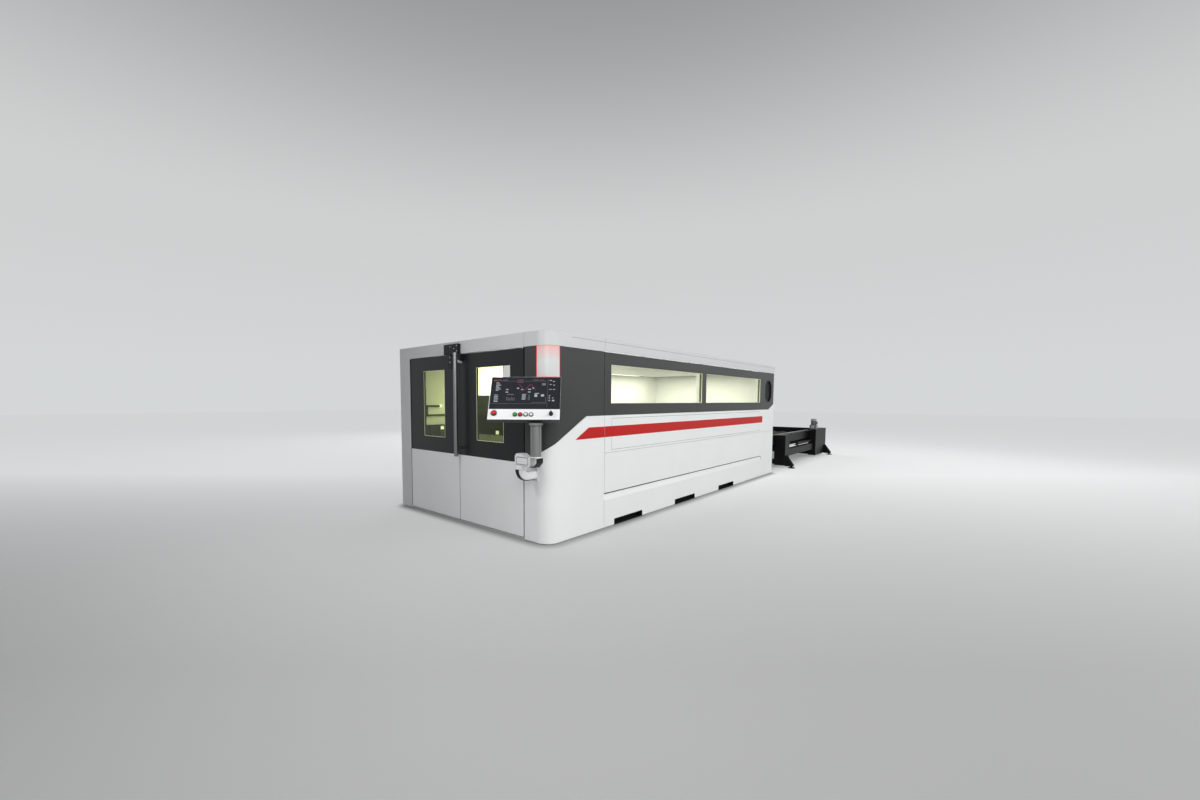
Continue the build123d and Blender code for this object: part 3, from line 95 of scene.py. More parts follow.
def cloudy(name, colour, roughness, grain, spread=0.05, relief=0.05, metallic=0.0, gloss=0.5):
    """Give a finish whose colour drifts by the spread over a broad noise, about one cloud in 0.7 m, and
    whose roughness and fine relief follow a second noise of the given grain per metre."""
    made, nodes, links = new_finish(name)
    shader = nodes["Principled BSDF"]
    shader.inputs["Metallic"].default_value = metallic
    shader.inputs["Specular IOR Level"].default_value = gloss
    place = nodes.new("ShaderNodeTexCoord")
    broad = nodes.new("ShaderNodeTexNoise")
    broad.inputs["Scale"].default_value = 1.4
    fine = nodes.new("ShaderNodeTexNoise")
    fine.inputs["Scale"].default_value = grain
    fine.inputs["Detail"].default_value = 3
    tone = nodes.new("ShaderNodeValToRGB")
    tone.color_ramp.elements[0].position = 0.3
    tone.color_ramp.elements[1].position = 0.7
    tone.color_ramp.elements[0].color = [part * (1 - spread) for part in colour] + [1]
    tone.color_ramp.elements[1].color = [min(1, part * (1 + spread)) for part in colour] + [1]
    sheen = nodes.new("ShaderNodeMapRange")
    sheen.inputs["To Min"].default_value = max(0.02, roughness - 0.07)
    sheen.inputs["To Max"].default_value = roughness + 0.07
    bump = nodes.new("ShaderNodeBump")
    bump.inputs["Strength"].default_value = relief
    bump.inputs["Distance"].default_value = 0.001
    for noise in (broad, fine):
        links.new(place.outputs["Object"], noise.inputs["Vector"])
    links.new(broad.outputs["Fac"], tone.inputs["Fac"])
    links.new(tone.outputs["Color"], shader.inputs["Base Color"])
    links.new(fine.outputs["Fac"], sheen.inputs["Value"])
    links.new(sheen.outputs["Result"], shader.inputs["Roughness"])
    links.new(fine.outputs["Fac"], bump.inputs["Height"])
    links.new(bump.outputs["Normal"], shader.inputs["Normal"])
    return made


def seen_rays(nodes, links):
    """Give 1 for the rays of the camera, of mirrors and of windows, and 0 for the rest: the largest of the
    three."""
    rays = nodes.new("ShaderNodeLightPath")
    largest = rays.outputs["Is Camera Ray"]
    for kind in ("Is Glossy Ray", "Is Transmission Ray"):
        either = nodes.new("ShaderNodeMath")
        either.operation = "MAXIMUM"
        links.new(largest, either.inputs[0])
        links.new(rays.outputs[kind], either.inputs[1])
        largest = either.outputs[0]
    return largest


studio_floor = lay_mesh(
    "studio_floor",
    [(-60, -60, 0), (60, -60, 0), (60, 60, 0), (-60, 60, 0)],
    [(0, 1, 2, 3)],
    smooth=False,
)
floor_grey = cloudy("studio_floor_grey", (0.66, 0.67, 0.67), 0.6, 40, 0.01, 0.0)
floor_nodes, floor_links = floor_grey.node_tree.nodes, floor_grey.node_tree.links
floor_place = floor_nodes["Texture Coordinate"].outputs["Object"]
# The floor's glow goes by the distance along the view's direction, from -18 m to 6 m: dark round the
# camera, from -6 m to -3 m, and bright from 3.5 m on and again far behind the camera.
floor_along = floor_nodes.new("ShaderNodeVectorMath")
floor_along.operation = "DOT_PRODUCT"
floor_along.inputs[1].default_value = (-0.665, 0.747, 0.0)
floor_reach = floor_nodes.new("ShaderNodeMapRange")
floor_reach.inputs["From Min"].default_value = -18.0
floor_reach.inputs["From Max"].default_value = 6.0
bright_floor, dark_floor = (0.56, 0.57, 0.57, 1), (0.15, 0.15, 0.15, 1)
floor_fade = floor_nodes.new("ShaderNodeValToRGB")
floor_fade.color_ramp.elements[0].color = bright_floor
floor_fade.color_ramp.elements[1].position = 0.896
floor_fade.color_ramp.elements[1].color = bright_floor
for reach in (0.50, 0.625):
    floor_fade.color_ramp.elements.new(reach).color = dark_floor
floor_pale = floor_nodes.new("ShaderNodeEmission")
floor_matt = floor_nodes.new("ShaderNodeBsdfDiffuse")
floor_matt.inputs["Color"].default_value = (0.34, 0.34, 0.34, 1)
floor_both = floor_nodes.new("ShaderNodeAddShader")
floor_mix = floor_nodes.new("ShaderNodeMixShader")
floor_links.new(floor_place, floor_along.inputs[0])
floor_links.new(floor_along.outputs["Value"], floor_reach.inputs["Value"])
floor_links.new(floor_reach.outputs["Result"], floor_fade.inputs["Fac"])
floor_links.new(floor_fade.outputs["Color"], floor_pale.inputs["Color"])


def shade_near(middle, half, corner, reach, least):
    """Fade the floor's glow near a rounded box: a point's distance is the length of
    max(|point - middle| - half size, 0), less the corner's radius; it fades over the reach."""
    before = floor_place
    for step, value in (
        ("SUBTRACT", middle),
        ("ABSOLUTE", (0, 0, 0)),
        ("SUBTRACT", half),
        ("MAXIMUM", (0, 0, 0)),
        ("LENGTH", (0, 0, 0)),
    ):
        part = floor_nodes.new("ShaderNodeVectorMath")
        part.operation = step
        part.inputs[1].default_value = value
        floor_links.new(before, part.inputs[0])
        before = part.outputs["Value" if step == "LENGTH" else "Vector"]
    fade = floor_nodes.new("ShaderNodeMapRange")
    fade.interpolation_type = "SMOOTHSTEP"
    fade.inputs["From Min"].default_value = corner
    fade.inputs["From Max"].default_value = corner + reach
    fade.inputs["To Min"].default_value = least
    floor_links.new(before, fade.inputs["Value"])
    return fade.outputs["Result"]


# Close to the covers, and under the shuttle table, the floor lies in the machine's shade.
floor_shade = floor_nodes.new("ShaderNodeMath")
floor_shade.operation = "MULTIPLY"
floor_links.new(shade_near((0, 3.2, 0), (1.22, 3.05, 0), 0.15, 0.17, 0.05), floor_shade.inputs[0])
floor_links.new(shade_near((0, 8.6, 0), (0.95, 1.9, 0), 0.0, 0.70, 0.35), floor_shade.inputs[1])
floor_links.new(floor_shade.outputs[0], floor_pale.inputs["Strength"])
floor_links.new(floor_pale.outputs[0], floor_both.inputs[0])
floor_links.new(floor_matt.outputs[0], floor_both.inputs[1])
floor_links.new(seen_rays(floor_nodes, floor_links), floor_mix.inputs["Fac"])
floor_links.new(floor_nodes["Principled BSDF"].outputs[0], floor_mix.inputs[1])
floor_links.new(floor_both.outputs[0], floor_mix.inputs[2])
floor_links.new(floor_mix.outputs[0], floor_nodes["Material Output"].inputs["Surface"])
studio_floor.data.materials.append(floor_grey)

surround = bpy.data.worlds.new("surround")
surround.use_nodes = True
bpy.context.scene.world = surround
sky_nodes, sky_links = surround.node_tree.nodes, surround.node_tree.links
soft = sky_nodes["Background"]
soft.inputs["Color"].default_value = (0.93, 0.95, 1.0, 1)
soft.inputs["Strength"].default_value = 0.26
backdrop = sky_nodes.new("ShaderNodeBackground")
backdrop.inputs["Strength"].default_value = 1.0
either = sky_nodes.new("ShaderNodeMixShader")
aim = sky_nodes.new("ShaderNodeTexCoord")
parts = sky_nodes.new("ShaderNodeSeparateXYZ")
fade = sky_nodes.new("ShaderNodeValToRGB")
fade.color_ramp.interpolation = "EASE"
fade.color_ramp.elements[0].position = 0.0
fade.color_ramp.elements[0].color = (0.66, 0.68, 0.68, 1)
fade.color_ramp.elements[1].position = 0.70
fade.color_ramp.elements[1].color = (0.29, 0.30, 0.305, 1)
fade.color_ramp.elements.new(0.30).color = (0.62, 0.635, 0.635, 1)
sky_links.new(aim.outputs["Generated"], parts.inputs[0])
sky_links.new(parts.outputs["Z"], fade.inputs["Fac"])
sky_links.new(fade.outputs["Color"], backdrop.inputs["Color"])
sky_links.new(seen_rays(sky_nodes, sky_links), either.inputs["Fac"])
sky_links.new(soft.outputs[0], either.inputs[1])
sky_links.new(backdrop.outputs[0], either.inputs[2])
sky_links.new(either.outputs[0], sky_nodes["World Output"].inputs["Surface"])


def hang_lamp(name, place, towards, width, height, power):
    """Hang a rectangular soft lamp at the place, facing the point that it lights."""
    lamp = bpy.data.lights.new(name, "AREA")
    lamp.shape = "RECTANGLE"
    lamp.size = width
    lamp.size_y = height
    lamp.energy = power
    stand = bpy.data.objects.new(name, lamp)
    bpy.context.scene.collection.objects.link(stand)
    facing = (Vector(place) - Vector(towards)).to_track_quat("Z", "Y")
    stand.matrix_world = Matrix.Translation(place) @ facing.to_matrix().to_4x4()


hang_lamp("side_lamp", (10.0, 3.0, 6.5), (1.4, 4.0, 1.0), 12, 5, 740)
hang_lamp("front_lamp", (3.4, -2.6, 2.6), (1.0, 0.0, 0.9), 1.6, 1.6, 34)
hang_lamp("left_lamp", (0.8, -2.2, 2.7), (1.2, 0.0, 0.5), 0.5, 0.5, 18)
hang_lamp("far_lamp", (-10.0, 12.0, 6.0), (-0.8, 4.5, 1.0), 9, 5, 620)
hang_lamp("rear_lamp", (4.5, 12.0, 5.0), (1.0, 8.5, 0.6), 5, 4, 90)


def coat(finish, *names):
    """Put a finish on CAD nodes."""
    for name in names:
        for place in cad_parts[name].material_slots:
            place.material = finish


# ---- Sill, posts and header ----------------------------------------------------------------------
# The threshold is a dull grey steel plate, and the rails under the roof are light grey. The welded square
# posts behind the covers are given near-black as painted shade, so that the seams between the covers read
# as dark lines.
frame_grey = cloudy("frame_grey", (0.60, 0.62, 0.60), 0.5, 260, 0.04, 0.05)
sill_steel = cloudy("sill_steel", (0.42, 0.42, 0.42), 0.5, 220, 0.06, 0.08, 0.2)
coat(sill_steel, "front_sill")
# Near-black: the real colour of the pipes, the service box and the lid's gasket, and painted shade on the
# posts and in the covers' gaps, pockets and seams.
matt_black_and_painted_shade = cloudy("matt_black_and_painted_shade", (0.010, 0.010, 0.011), 0.6, 260, 0.1, 0.05, gloss=0.2)
coat(frame_grey, "top_rails")
coat(matt_black_and_painted_shade, "cabin_posts")

# ---- White covers --------------------------------------------------------------------------------
# Bent sheet with a satin light grey powder coat that has a faint orange peel: the column by the doors,
# the corner cover, the base and middle covers, the rear wall, the roof trays and the cornice. The roof, the
# cornice and the column have a greyer coat than the rest.
white_coat = cloudy("white_coat", (0.82, 0.83, 0.82), 0.38, 700, 0.015, 0.04)
coat(
    white_coat,
    "corner_cover",
    "right_base_panel",
    "right_middle_panel",
    "right_hatch",
    "left_side_panels",
    "rear_wall",
)
cornice_coat = cloudy("cornice_coat", (0.60, 0.61, 0.61), 0.42, 700, 0.015, 0.04)
coat(cornice_coat, "roof", "cornice", "left_front_column")

# ---- Dark covers ---------------------------------------------------------------------------------
# The set-back sheet above the white one, in a satin charcoal powder coat, with the header over the doors.
charcoal_coat = cloudy("charcoal_coat", (0.036, 0.036, 0.037), 0.42, 600, 0.06, 0.05, gloss=0.4)
coat(charcoal_coat, "corner_dark_panel", "right_upper_panel", "door_header")

# ---- Red stripe ----------------------------------------------------------------------------------
# Cut film stuck on the white covers, trimmed at each seam.
red_film = cloudy("red_film", (0.50, 0.008, 0.006), 0.5, 120, 0.03, 0.02, gloss=0.25)
coat(red_film, "red_stripe")

# ---- Lining and lamps of the cutting space -------------------------------------------------------
# White sheets line the left wall, the rear and the roof and wrap the posts by the side windows, and two
# tube lamps on each side light the space through and through, so that the windows glow.


def skin(rows, count, closed=False):
    """Join rows of points into a skin: quads from each row to the next, and from the last row back to the
    first where closed, or else one face on each end."""
    number = np.arange(rows * count).reshape(rows, count)
    low = number if closed else number[:-1]
    high = np.roll(number, -1, 0) if closed else number[1:]
    quads = np.stack([low, np.roll(low, -1, 1), np.roll(high, -1, 1), high], -1).reshape(-1, 4).tolist()
    return quads if closed else quads + [number[0][::-1].tolist(), number[-1].tolist()]


def carry_profile(outline, path, side, scale=None, closed=False):
    """Carry an outline along a path: each path point plus the outline's first number times the side
    direction and its second times side x tangent, both times that point's scale. Gives points and faces."""
    outline = np.asarray(outline, float)
    path = np.asarray(path, float)
    rows = len(path)
    if closed:
        tangent = np.roll(path, -1, 0) - np.roll(path, 1, 0)
    else:
        tangent = np.gradient(path, axis=0)
    tangent /= np.linalg.norm(tangent, axis=1, keepdims=True)
    side = np.broadcast_to(np.asarray(side, float), (rows, 3))
    normal = np.cross(side, tangent)
    drawn = outline[None] * np.reshape(np.ones(rows) if scale is None else scale, (rows, 1, 1))
    points = path[:, None] + side[:, None] * drawn[..., :1] + normal[:, None] * drawn[..., 1:]
    return points.reshape(-1, 3), skin(rows, len(outline), closed)


def face_outwards(made):
    """Turn every face of a closed piece outwards."""
    work = bmesh.new()
    work.from_mesh(made.data)
    bmesh.ops.recalc_face_normals(work, faces=work.faces)
    work.to_mesh(made.data)
    work.free()


def build(name, shape, finish, body):
    """Make a piece of points and faces, turn its faces outwards, and give it its finish and body."""
    made = lay_mesh(name, shape[0], shape[1])
    face_outwards(made)
    made.data.materials.append(finish)
    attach(made, body)
    return made


def rectangle(width, height):
    """Give the four corners of a rectangle about its middle."""
    return np.array([(1, 1), (-1, 1), (-1, -1), (1, -1)]) * (width / 2, height / 2)


def rounded_rectangle(width, height, corner, steps=5):
    """Give an outline of four quarter circles of the corner's radius, each about a point that radius
    inside its corner, joined by straight runs."""
    angle = (np.arange(4)[:, None] + np.linspace(0, 1, steps + 1)[None]) * math.pi / 2
    centre = rectangle(width - 2 * corner, height - 2 * corner)
    arc = np.stack([np.cos(angle), np.sin(angle)], -1) * corner
    return (centre[:, None] + arc).reshape(-1, 2)


def merge(*shapes):
    """Join shapes into one list of points and one of faces."""
    points, faces, start = [], [], 0
    for made in shapes:
        points.append(made[0])
        faces += [[number + start for number in face] for face in made[1]]
        start += len(made[0])
    return np.concatenate(points), faces


def straight_bar(low, high):
    """Give a square-edged bar between two corners, in any order, carried from front to rear."""
    low, high = np.sort(np.array([low, high], float), axis=0)
    middle = (low + high) / 2
    path = [(middle[0], low[1], middle[2]), (middle[0], high[1], middle[2])]
    return carry_profile(rectangle(high[0] - low[0], high[2] - low[2]), path, (1, 0, 0))


def glow(finish, colour, strength):
    """Let a finish shine in a colour besides what it reflects."""
    shader = finish.node_tree.nodes["Principled BSDF"]
    shader.inputs["Emission Color"].default_value = (*colour, 1)
    shader.inputs["Emission Strength"].default_value = strength


lining_white = cloudy("lining_white", (0.86, 0.87, 0.82), 0.5, 60, 0.04, 0.03)
tube_light = cloudy("tube_light", (0.95, 0.95, 0.92), 0.4, 50, 0.01, 0.0)
glow(tube_light, (1.0, 1.0, 0.94), 7)
coat(tube_light, "interior_lights")
window_posts = ((3.3190, 3.3820), (5.7535, 5.8165), (0.9030, 0.9670))
build(
    "cabin_lining",
    merge(
        straight_bar((-1.249, 0.27, 1.01), (-1.246, 6.331, 1.955)),
        *(straight_bar((1.2485, front, 1.390), (1.3095, rear, 1.830)) for front, rear in window_posts),
        straight_bar((-1.244, 6.332, 0.96), (1.244, 6.335, 1.955)),
        straight_bar((-1.246, 0.12, 1.962), (1.246, 6.27, 1.964)),
    ),
    lining_white,
    "machine",
)


def turned(foot, along, heights, radii, sides=28):
    """Turn a round part: at each height above the foot, measured along the axis, stands a circle of that
    radius. A circle's points are foot + height x axis + radius x (cos a, sin a) across the axis."""
    along = np.asarray(along, float) / np.linalg.norm(along)
    spare = np.eye(3)[np.argmin(np.abs(along))]
    first = np.cross(along, spare)
    first /= np.linalg.norm(first)
    second = np.cross(along, first)
    angle = np.linspace(0, 2 * math.pi, sides, endpoint=False)
    circle = np.cos(angle)[:, None] * first + np.sin(angle)[:, None] * second
    heights, radii = np.asarray(heights, float), np.asarray(radii, float)
    points = np.asarray(foot, float) + heights[:, None, None] * along + radii[:, None, None] * circle
    return points.reshape(-1, 3), skin(len(heights), sides)


# On the left wall, in front of the gantry, two dark pipes run back from the doors, the upper one ends in a
# pale connector, and a black service box with a bare white plate stands under them. The connector and the
# plate are given a faint glow, painted light, though neither is a lamp.
build(
    "wall_pipes",
    merge(
        turned((-1.232, 0.275, 1.344), (0, 1, 0), (0, 0.232), (0.012, 0.012), 16),
        turned((-1.232, 0.275, 1.218), (0, 1, 0), (0, 0.90), (0.012, 0.012), 16),
        straight_bar((-1.246, 0.30, 1.205), (-1.240, 0.33, 1.357)),
    ),
    matt_black_and_painted_shade,
    "machine",
)
# The pale finish glows: painted light on parts that are no lamps.
pale_plate_painted_glow = cloudy("pale_plate_painted_glow", (0.85, 0.86, 0.80), 0.4, 90, 0.03, 0.02)
glow(pale_plate_painted_glow, (1.0, 1.0, 0.94), 0.9)
build(
    "pipe_connector",
    turned((-1.232, 0.505, 1.344), (0, 1, 0), (0, 0.004, 0.030, 0.034), (0.014, 0.022, 0.022, 0.012), 20),
    pale_plate_painted_glow,
    "machine",
)
build(
    "service_box",
    straight_bar((-1.2455, 0.300, 0.940), (-1.130, 0.530, 1.085)),
    matt_black_and_painted_shade,
    "machine",
)
build(
    "service_box_plate",
    straight_bar((-1.1299, 0.455, 1.020), (-1.1288, 0.505, 1.066)),
    pale_plate_painted_glow,
    "machine",
)
# Soft lamps under the roof, and one along the left wall, stand for the light that the tube lamps spread.
for number, y in enumerate((1.9, 3.5, 5.1)):
    hang_lamp(f"chamber_lamp_{number + 1}", (0.0, y, 1.93), (0.0, y, 0.0), 2.0, 1.6, 44)
hang_lamp("left_wall_lamp", (-0.60, 2.0, 1.80), (-1.25, 2.1, 1.50), 1.2, 0.2, 24)

# ---- Painted shade in the gaps and hollows of the white covers -----------------------------------
# Each pocket over a levelling foot is lined with near-black sheets, painted shade for the shade in it; a
# near-black strip on the upper slope of the long groove on each side is painted shade under the groove's
# top; and a thin black strip round the hatch is painted shade in its gap. Another fills the gap behind the
# left column as painted shade, and the cornice's long joint shows as a fine grey line.


def pocket_shade_lining(middle, side):
    """Line one pocket with painted shade: a floor, a ceiling, two cheeks and a back, each 2 mm thick."""
    inner, outer = side * 1.268, side * 1.3690
    return merge(
        straight_bar((inner, middle - 0.2950, 0.0015), (outer, middle + 0.2950, 0.0035)),
        straight_bar((inner, middle - 0.2955, 0.0718), (outer, middle + 0.2955, 0.0738)),
        straight_bar((inner, middle - 0.2958, 0.0036), (outer, middle - 0.2940, 0.0717)),
        straight_bar((inner, middle + 0.2940, 0.0036), (outer, middle + 0.2958, 0.0717)),
        straight_bar((inner, middle - 0.3050, 0.0036), (side * 1.270, middle + 0.3050, 0.0950)),
    )


# A near-black strip in the gap behind the left column, painted shade.
build(
    "column_gap_painted_shade",
    straight_bar((-1.1279, 0.004, 0.030), (-1.1269, 0.070, 1.950)),
    matt_black_and_painted_shade,
    "machine",
)
seam_grey = cloudy("seam_grey", (0.16, 0.16, 0.16), 0.6, 120, 0.06, 0.03)
build(
    "cornice_joint",
    straight_bar((1.3695, 0.345, 2.0580), (1.3703, 6.398, 2.0612)),
    seam_grey,
    "machine",
)
# The groove strip's near-black is painted shade, for the shade under the groove's top.
groove_painted_shade = cloudy("groove_painted_shade", (0.03, 0.03, 0.03), 0.6, 90, 0.06, 0.03)
for side, hand in ((1, "right"), (-1, "left")):
    build(
        f"{hand}_pocket_painted_shade",
        merge(*(pocket_shade_lining(middle, side) for middle in (1.390, 2.800, 4.210))),
        matt_black_and_painted_shade,
        "machine",
    )
    slope = np.array([(1.3284, 0.3960), (1.3296, 0.3966), (1.3395, 0.3756), (1.3383, 0.3750)])
    build(
        f"{hand}_painted_groove_shadow",
        carry_profile(slope * (side, 1), [(0, 0.905, 0), (0, 5.783, 0)], (1, 0, 0)),
        groove_painted_shade,
        "machine",
    )
# A thin near-black strip round the hatch, painted shade in the hatch's gap.
hatch_line = rounded_rectangle(4.635, 0.352, 0.002, 1) + (3.349, 1.0505)
build(
    "hatch_gap_painted_shade",
    carry_profile(
        rectangle(0.0012, 0.0026),
        np.column_stack([np.full(len(hatch_line), 1.3692), hatch_line]),
        (1, 0, 0),
        closed=True,
    ),
    matt_black_and_painted_shade,
    "machine",
)

# ---- Windows -------------------------------------------------------------------------------------
# Laser-safe acrylic, tinted yellow-green, bonded behind the sheet. Its cut edge catches the light as a
# pale line round each opening.


def laser_acrylic(name, tint):
    """Give a tinted pane: light passes straight through it, tinted at each face, under a thin gloss."""
    made, nodes, links = new_finish(name)
    nodes.remove(nodes["Principled BSDF"])
    place = nodes.new("ShaderNodeTexCoord")
    drift = nodes.new("ShaderNodeTexNoise")
    drift.inputs["Scale"].default_value = 2.5
    shade = nodes.new("ShaderNodeValToRGB")
    shade.color_ramp.elements[0].color = [part * 0.97 for part in tint] + [1]
    shade.color_ramp.elements[1].color = list(tint) + [1]
    through = nodes.new("ShaderNodeBsdfTransparent")
    gloss = nodes.new("ShaderNodeBsdfGlossy")
    gloss.inputs["Roughness"].default_value = 0.03
    edge = nodes.new("ShaderNodeLayerWeight")
    edge.inputs["Blend"].default_value = 0.25
    faint = nodes.new("ShaderNodeMath")
    faint.operation = "MULTIPLY"
    faint.inputs[1].default_value = 0.22
    pane = nodes.new("ShaderNodeMixShader")
    links.new(place.outputs["Object"], drift.inputs["Vector"])
    links.new(drift.outputs["Fac"], shade.inputs["Fac"])
    links.new(shade.outputs["Color"], through.inputs["Color"])
    links.new(edge.outputs["Facing"], faint.inputs[0])
    links.new(faint.outputs[0], pane.inputs["Fac"])
    links.new(through.outputs[0], pane.inputs[1])
    links.new(gloss.outputs[0], pane.inputs[2])
    links.new(pane.outputs[0], nodes["Material Output"].inputs["Surface"])
    return made


door_acrylic = laser_acrylic("door_acrylic", (0.86, 0.90, 0.64))
side_acrylic = laser_acrylic("side_acrylic", (0.94, 0.945, 0.86))
coat(door_acrylic, "left_door_glass", "right_door_glass")
coat(side_acrylic, "right_windows")
acrylic_edge = cloudy("acrylic_edge", (0.80, 0.86, 0.55), 0.3, 80, 0.05, 0.02)


def edge_strip(across_low, across_high, z_low, z_high, face, depth, along_y):
    """Line an opening: a strip 5 mm wide and as deep as given, carried round the opening's rectangle."""
    strip = 0.005
    middle = ((across_low + across_high) / 2, (z_low + z_high) / 2)
    ring = rounded_rectangle(across_high - across_low - strip, z_high - z_low - strip, 0.004, 2) + middle
    if along_y:
        path = np.column_stack([np.full(len(ring), face), ring[:, 0], ring[:, 1]])
        side = (1, 0, 0)
    else:
        path = np.column_stack([ring[:, 0], np.full(len(ring), face), ring[:, 1]])
        side = (0, 1, 0)
    return carry_profile(rectangle(depth, strip), path, side, closed=True)


side_panes = ((1.027, 3.284), (3.417, 5.674))
build(
    "side_window_edges",
    merge(*(edge_strip(low, high, 1.394, 1.823, 1.354, 0.011, True) for low, high in side_panes)),
    acrylic_edge,
    "machine",
)

# ---- Vent ----------------------------------------------------------------------------------------
# A moulded eight-sided louvre, matt black, sunk into the dark sheet near its rear end.
black_moulding = cloudy("black_moulding", (0.010, 0.010, 0.011), 0.45, 500, 0.1, 0.08, gloss=0.25)
vent_black = cloudy("vent_black", (0.005, 0.005, 0.006), 0.5, 500, 0.1, 0.08, gloss=0.1)
coat(vent_black, "vent_grille")

# ---- Corner lamp ---------------------------------------------------------------------------------
# A bent opal cover over red and white diodes, flush with the sheet. The red ones glow along its edges and
# tint the top of the cover.


def tint_above(finish, low, high, colour):
    """Blend a finish into another colour going up, by the share (z - low) / (high - low)."""
    nodes, links = finish.node_tree.nodes, finish.node_tree.links
    place = nodes.new("ShaderNodeSeparateXYZ")
    share = nodes.new("ShaderNodeMapRange")
    share.inputs["From Min"].default_value = low
    share.inputs["From Max"].default_value = high
    tinted = nodes.new("ShaderNodeMix")
    tinted.data_type = "RGBA"
    tinted.inputs["B"].default_value = (*colour, 1)
    links.new(nodes["Texture Coordinate"].outputs["Object"], place.inputs[0])
    links.new(place.outputs["Z"], share.inputs["Value"])
    links.new(share.outputs["Result"], tinted.inputs["Factor"])
    links.new(nodes["Color Ramp"].outputs["Color"], tinted.inputs["A"])
    links.new(tinted.outputs["Result"], nodes["Principled BSDF"].inputs["Base Color"])


opal = cloudy("opal_cover", (0.62, 0.63, 0.62), 0.3, 60, 0.02, 0.01)
glow(opal, (1.0, 0.93, 0.91), 0.06)
tint_above(opal, 1.80, 1.96, (0.72, 0.42, 0.39))
coat(opal, "corner_lamp")
red_glow = cloudy("red_glow", (0.60, 0.02, 0.02), 0.4, 60, 0.05, 0.01)
glow(red_glow, (1.0, 0.03, 0.02), 0.5)


def bent_patch(run, height, proud, thick=0.0012):
    """Lay a closed patch on the bent corner. A point's angle is its run over the corner's radius, held
    between 0 and a quarter turn; the point is the bend's centre plus (radius + proud) times (sin, -cos) of
    the angle, plus what run is left over, straight on in x before the bend and in y after it."""
    radius = 0.150
    run = np.asarray(run, float)
    angle = np.clip(run / radius, 0, math.pi / 2)
    spare = run - angle * radius

    def face(out):
        x = 1.220 + (radius + out) * np.sin(angle) + np.minimum(spare, 0)
        y = 0.150 - (radius + out) * np.cos(angle) + np.maximum(spare, 0)
        return np.stack(np.broadcast_arrays(x[:, None], y[:, None], np.asarray(height, float)[None]), -1)

    outer, inner = face(proud), face(proud - thick)
    ring = np.concatenate([outer[:, :1], outer[:, -1:], inner[:, -1:], inner[:, :1]], 1)
    return ring.reshape(-1, 3), skin(len(run), 4)


# A black strip stands behind the gap between the covers and the floor, along both sides, round the corner
# and under the left column: painted shade, for the shade in that gap.
gap = (0.0010, 0.0078)
corner_run = np.linspace(0, 0.2356, 12)
build(
    "foot_gap_painted_shade",
    merge(
        bent_patch(np.concatenate([[-0.178], corner_run, [6.470]]), gap, -0.0200),
        straight_bar((-1.3512, 0.205, gap[0]), (-1.3500, 6.390, gap[1])),
        straight_bar((-1.3650, 0.020, gap[0]), (-1.1300, 0.0212, gap[1])),
    ),
    matt_black_and_painted_shade,
    "machine",
)
lamp_start, lamp_stop, lamp_bottom, lamp_top, lamp_proud = -0.004, 0.2546, 1.650, 1.957, 0.0014
build(
    "corner_lamp_glow",
    merge(
        bent_patch(np.linspace(lamp_start, 0.002, 3), (lamp_bottom, lamp_top), lamp_proud),
        bent_patch(np.linspace(0.2486, lamp_stop, 3), (lamp_bottom, lamp_top), lamp_proud),
        bent_patch(np.linspace(lamp_start, lamp_stop, 22), (lamp_bottom, 1.655), lamp_proud),
        bent_patch(np.linspace(lamp_start, lamp_stop, 22), (1.953, lamp_top), lamp_proud),
    ),
    red_glow,
    "machine",
)

# ---- Doors ---------------------------------------------------------------------------------------
# Two folded steel leaves: white below, with a near-black sheet bonded over the upper part, and a window
# in each whose acrylic shows as a pale green line at its edge.
door_black = cloudy("door_black", (0.0100, 0.0100, 0.0115), 0.34, 600, 0.08, 0.04, gloss=0.3)
leaf_coat = cloudy("leaf_coat", (0.82, 0.83, 0.82), 0.38, 700, 0.015, 0.04)
tint_above(leaf_coat, 0.7929, 0.7931, (0.006, 0.006, 0.0075))
coat(leaf_coat, "left_door_leaf", "right_door_leaf")
coat(door_black, "left_door_skin", "right_door_skin")
for name, body, middle in (("left", "left_door", -0.583), ("right", "right_door", 0.487)):
    build(
        f"{name}_door_window_edge",
        edge_strip(middle - 0.228, middle + 0.228, 0.976, 1.786, 0.0095, 0.002, False),
        acrylic_edge,
        body,
    )
# Near-black strips in the doors' meeting gap and in the gap by the corner cover, below the dark sheet, are
# painted shade for the shade in those gaps.
build(
    "door_meeting_painted_shade",
    straight_bar((-0.0590, -0.0006, 0.032), (-0.0541, 0.040, 0.790)),
    matt_black_and_painted_shade,
    "left_door",
)
build(
    "corner_cover_gap_painted_shade",
    straight_bar((1.0389, -0.0004, 0.030), (1.0399, 0.038, 0.790)),
    matt_black_and_painted_shade,
    "machine",
)
instruction_plate = cloudy("instruction_plate", (0.74, 0.75, 0.72), 0.45, 90, 0.03, 0.02)
build(
    "bare_door_plate",
    straight_bar((0.722, 0.0066, 1.640), (0.822, 0.0079, 1.785)),
    instruction_plate,
    "right_door",
)

# ---- Door handle ---------------------------------------------------------------------------------
# A brushed steel tube over the full height of the windows, on two stays.


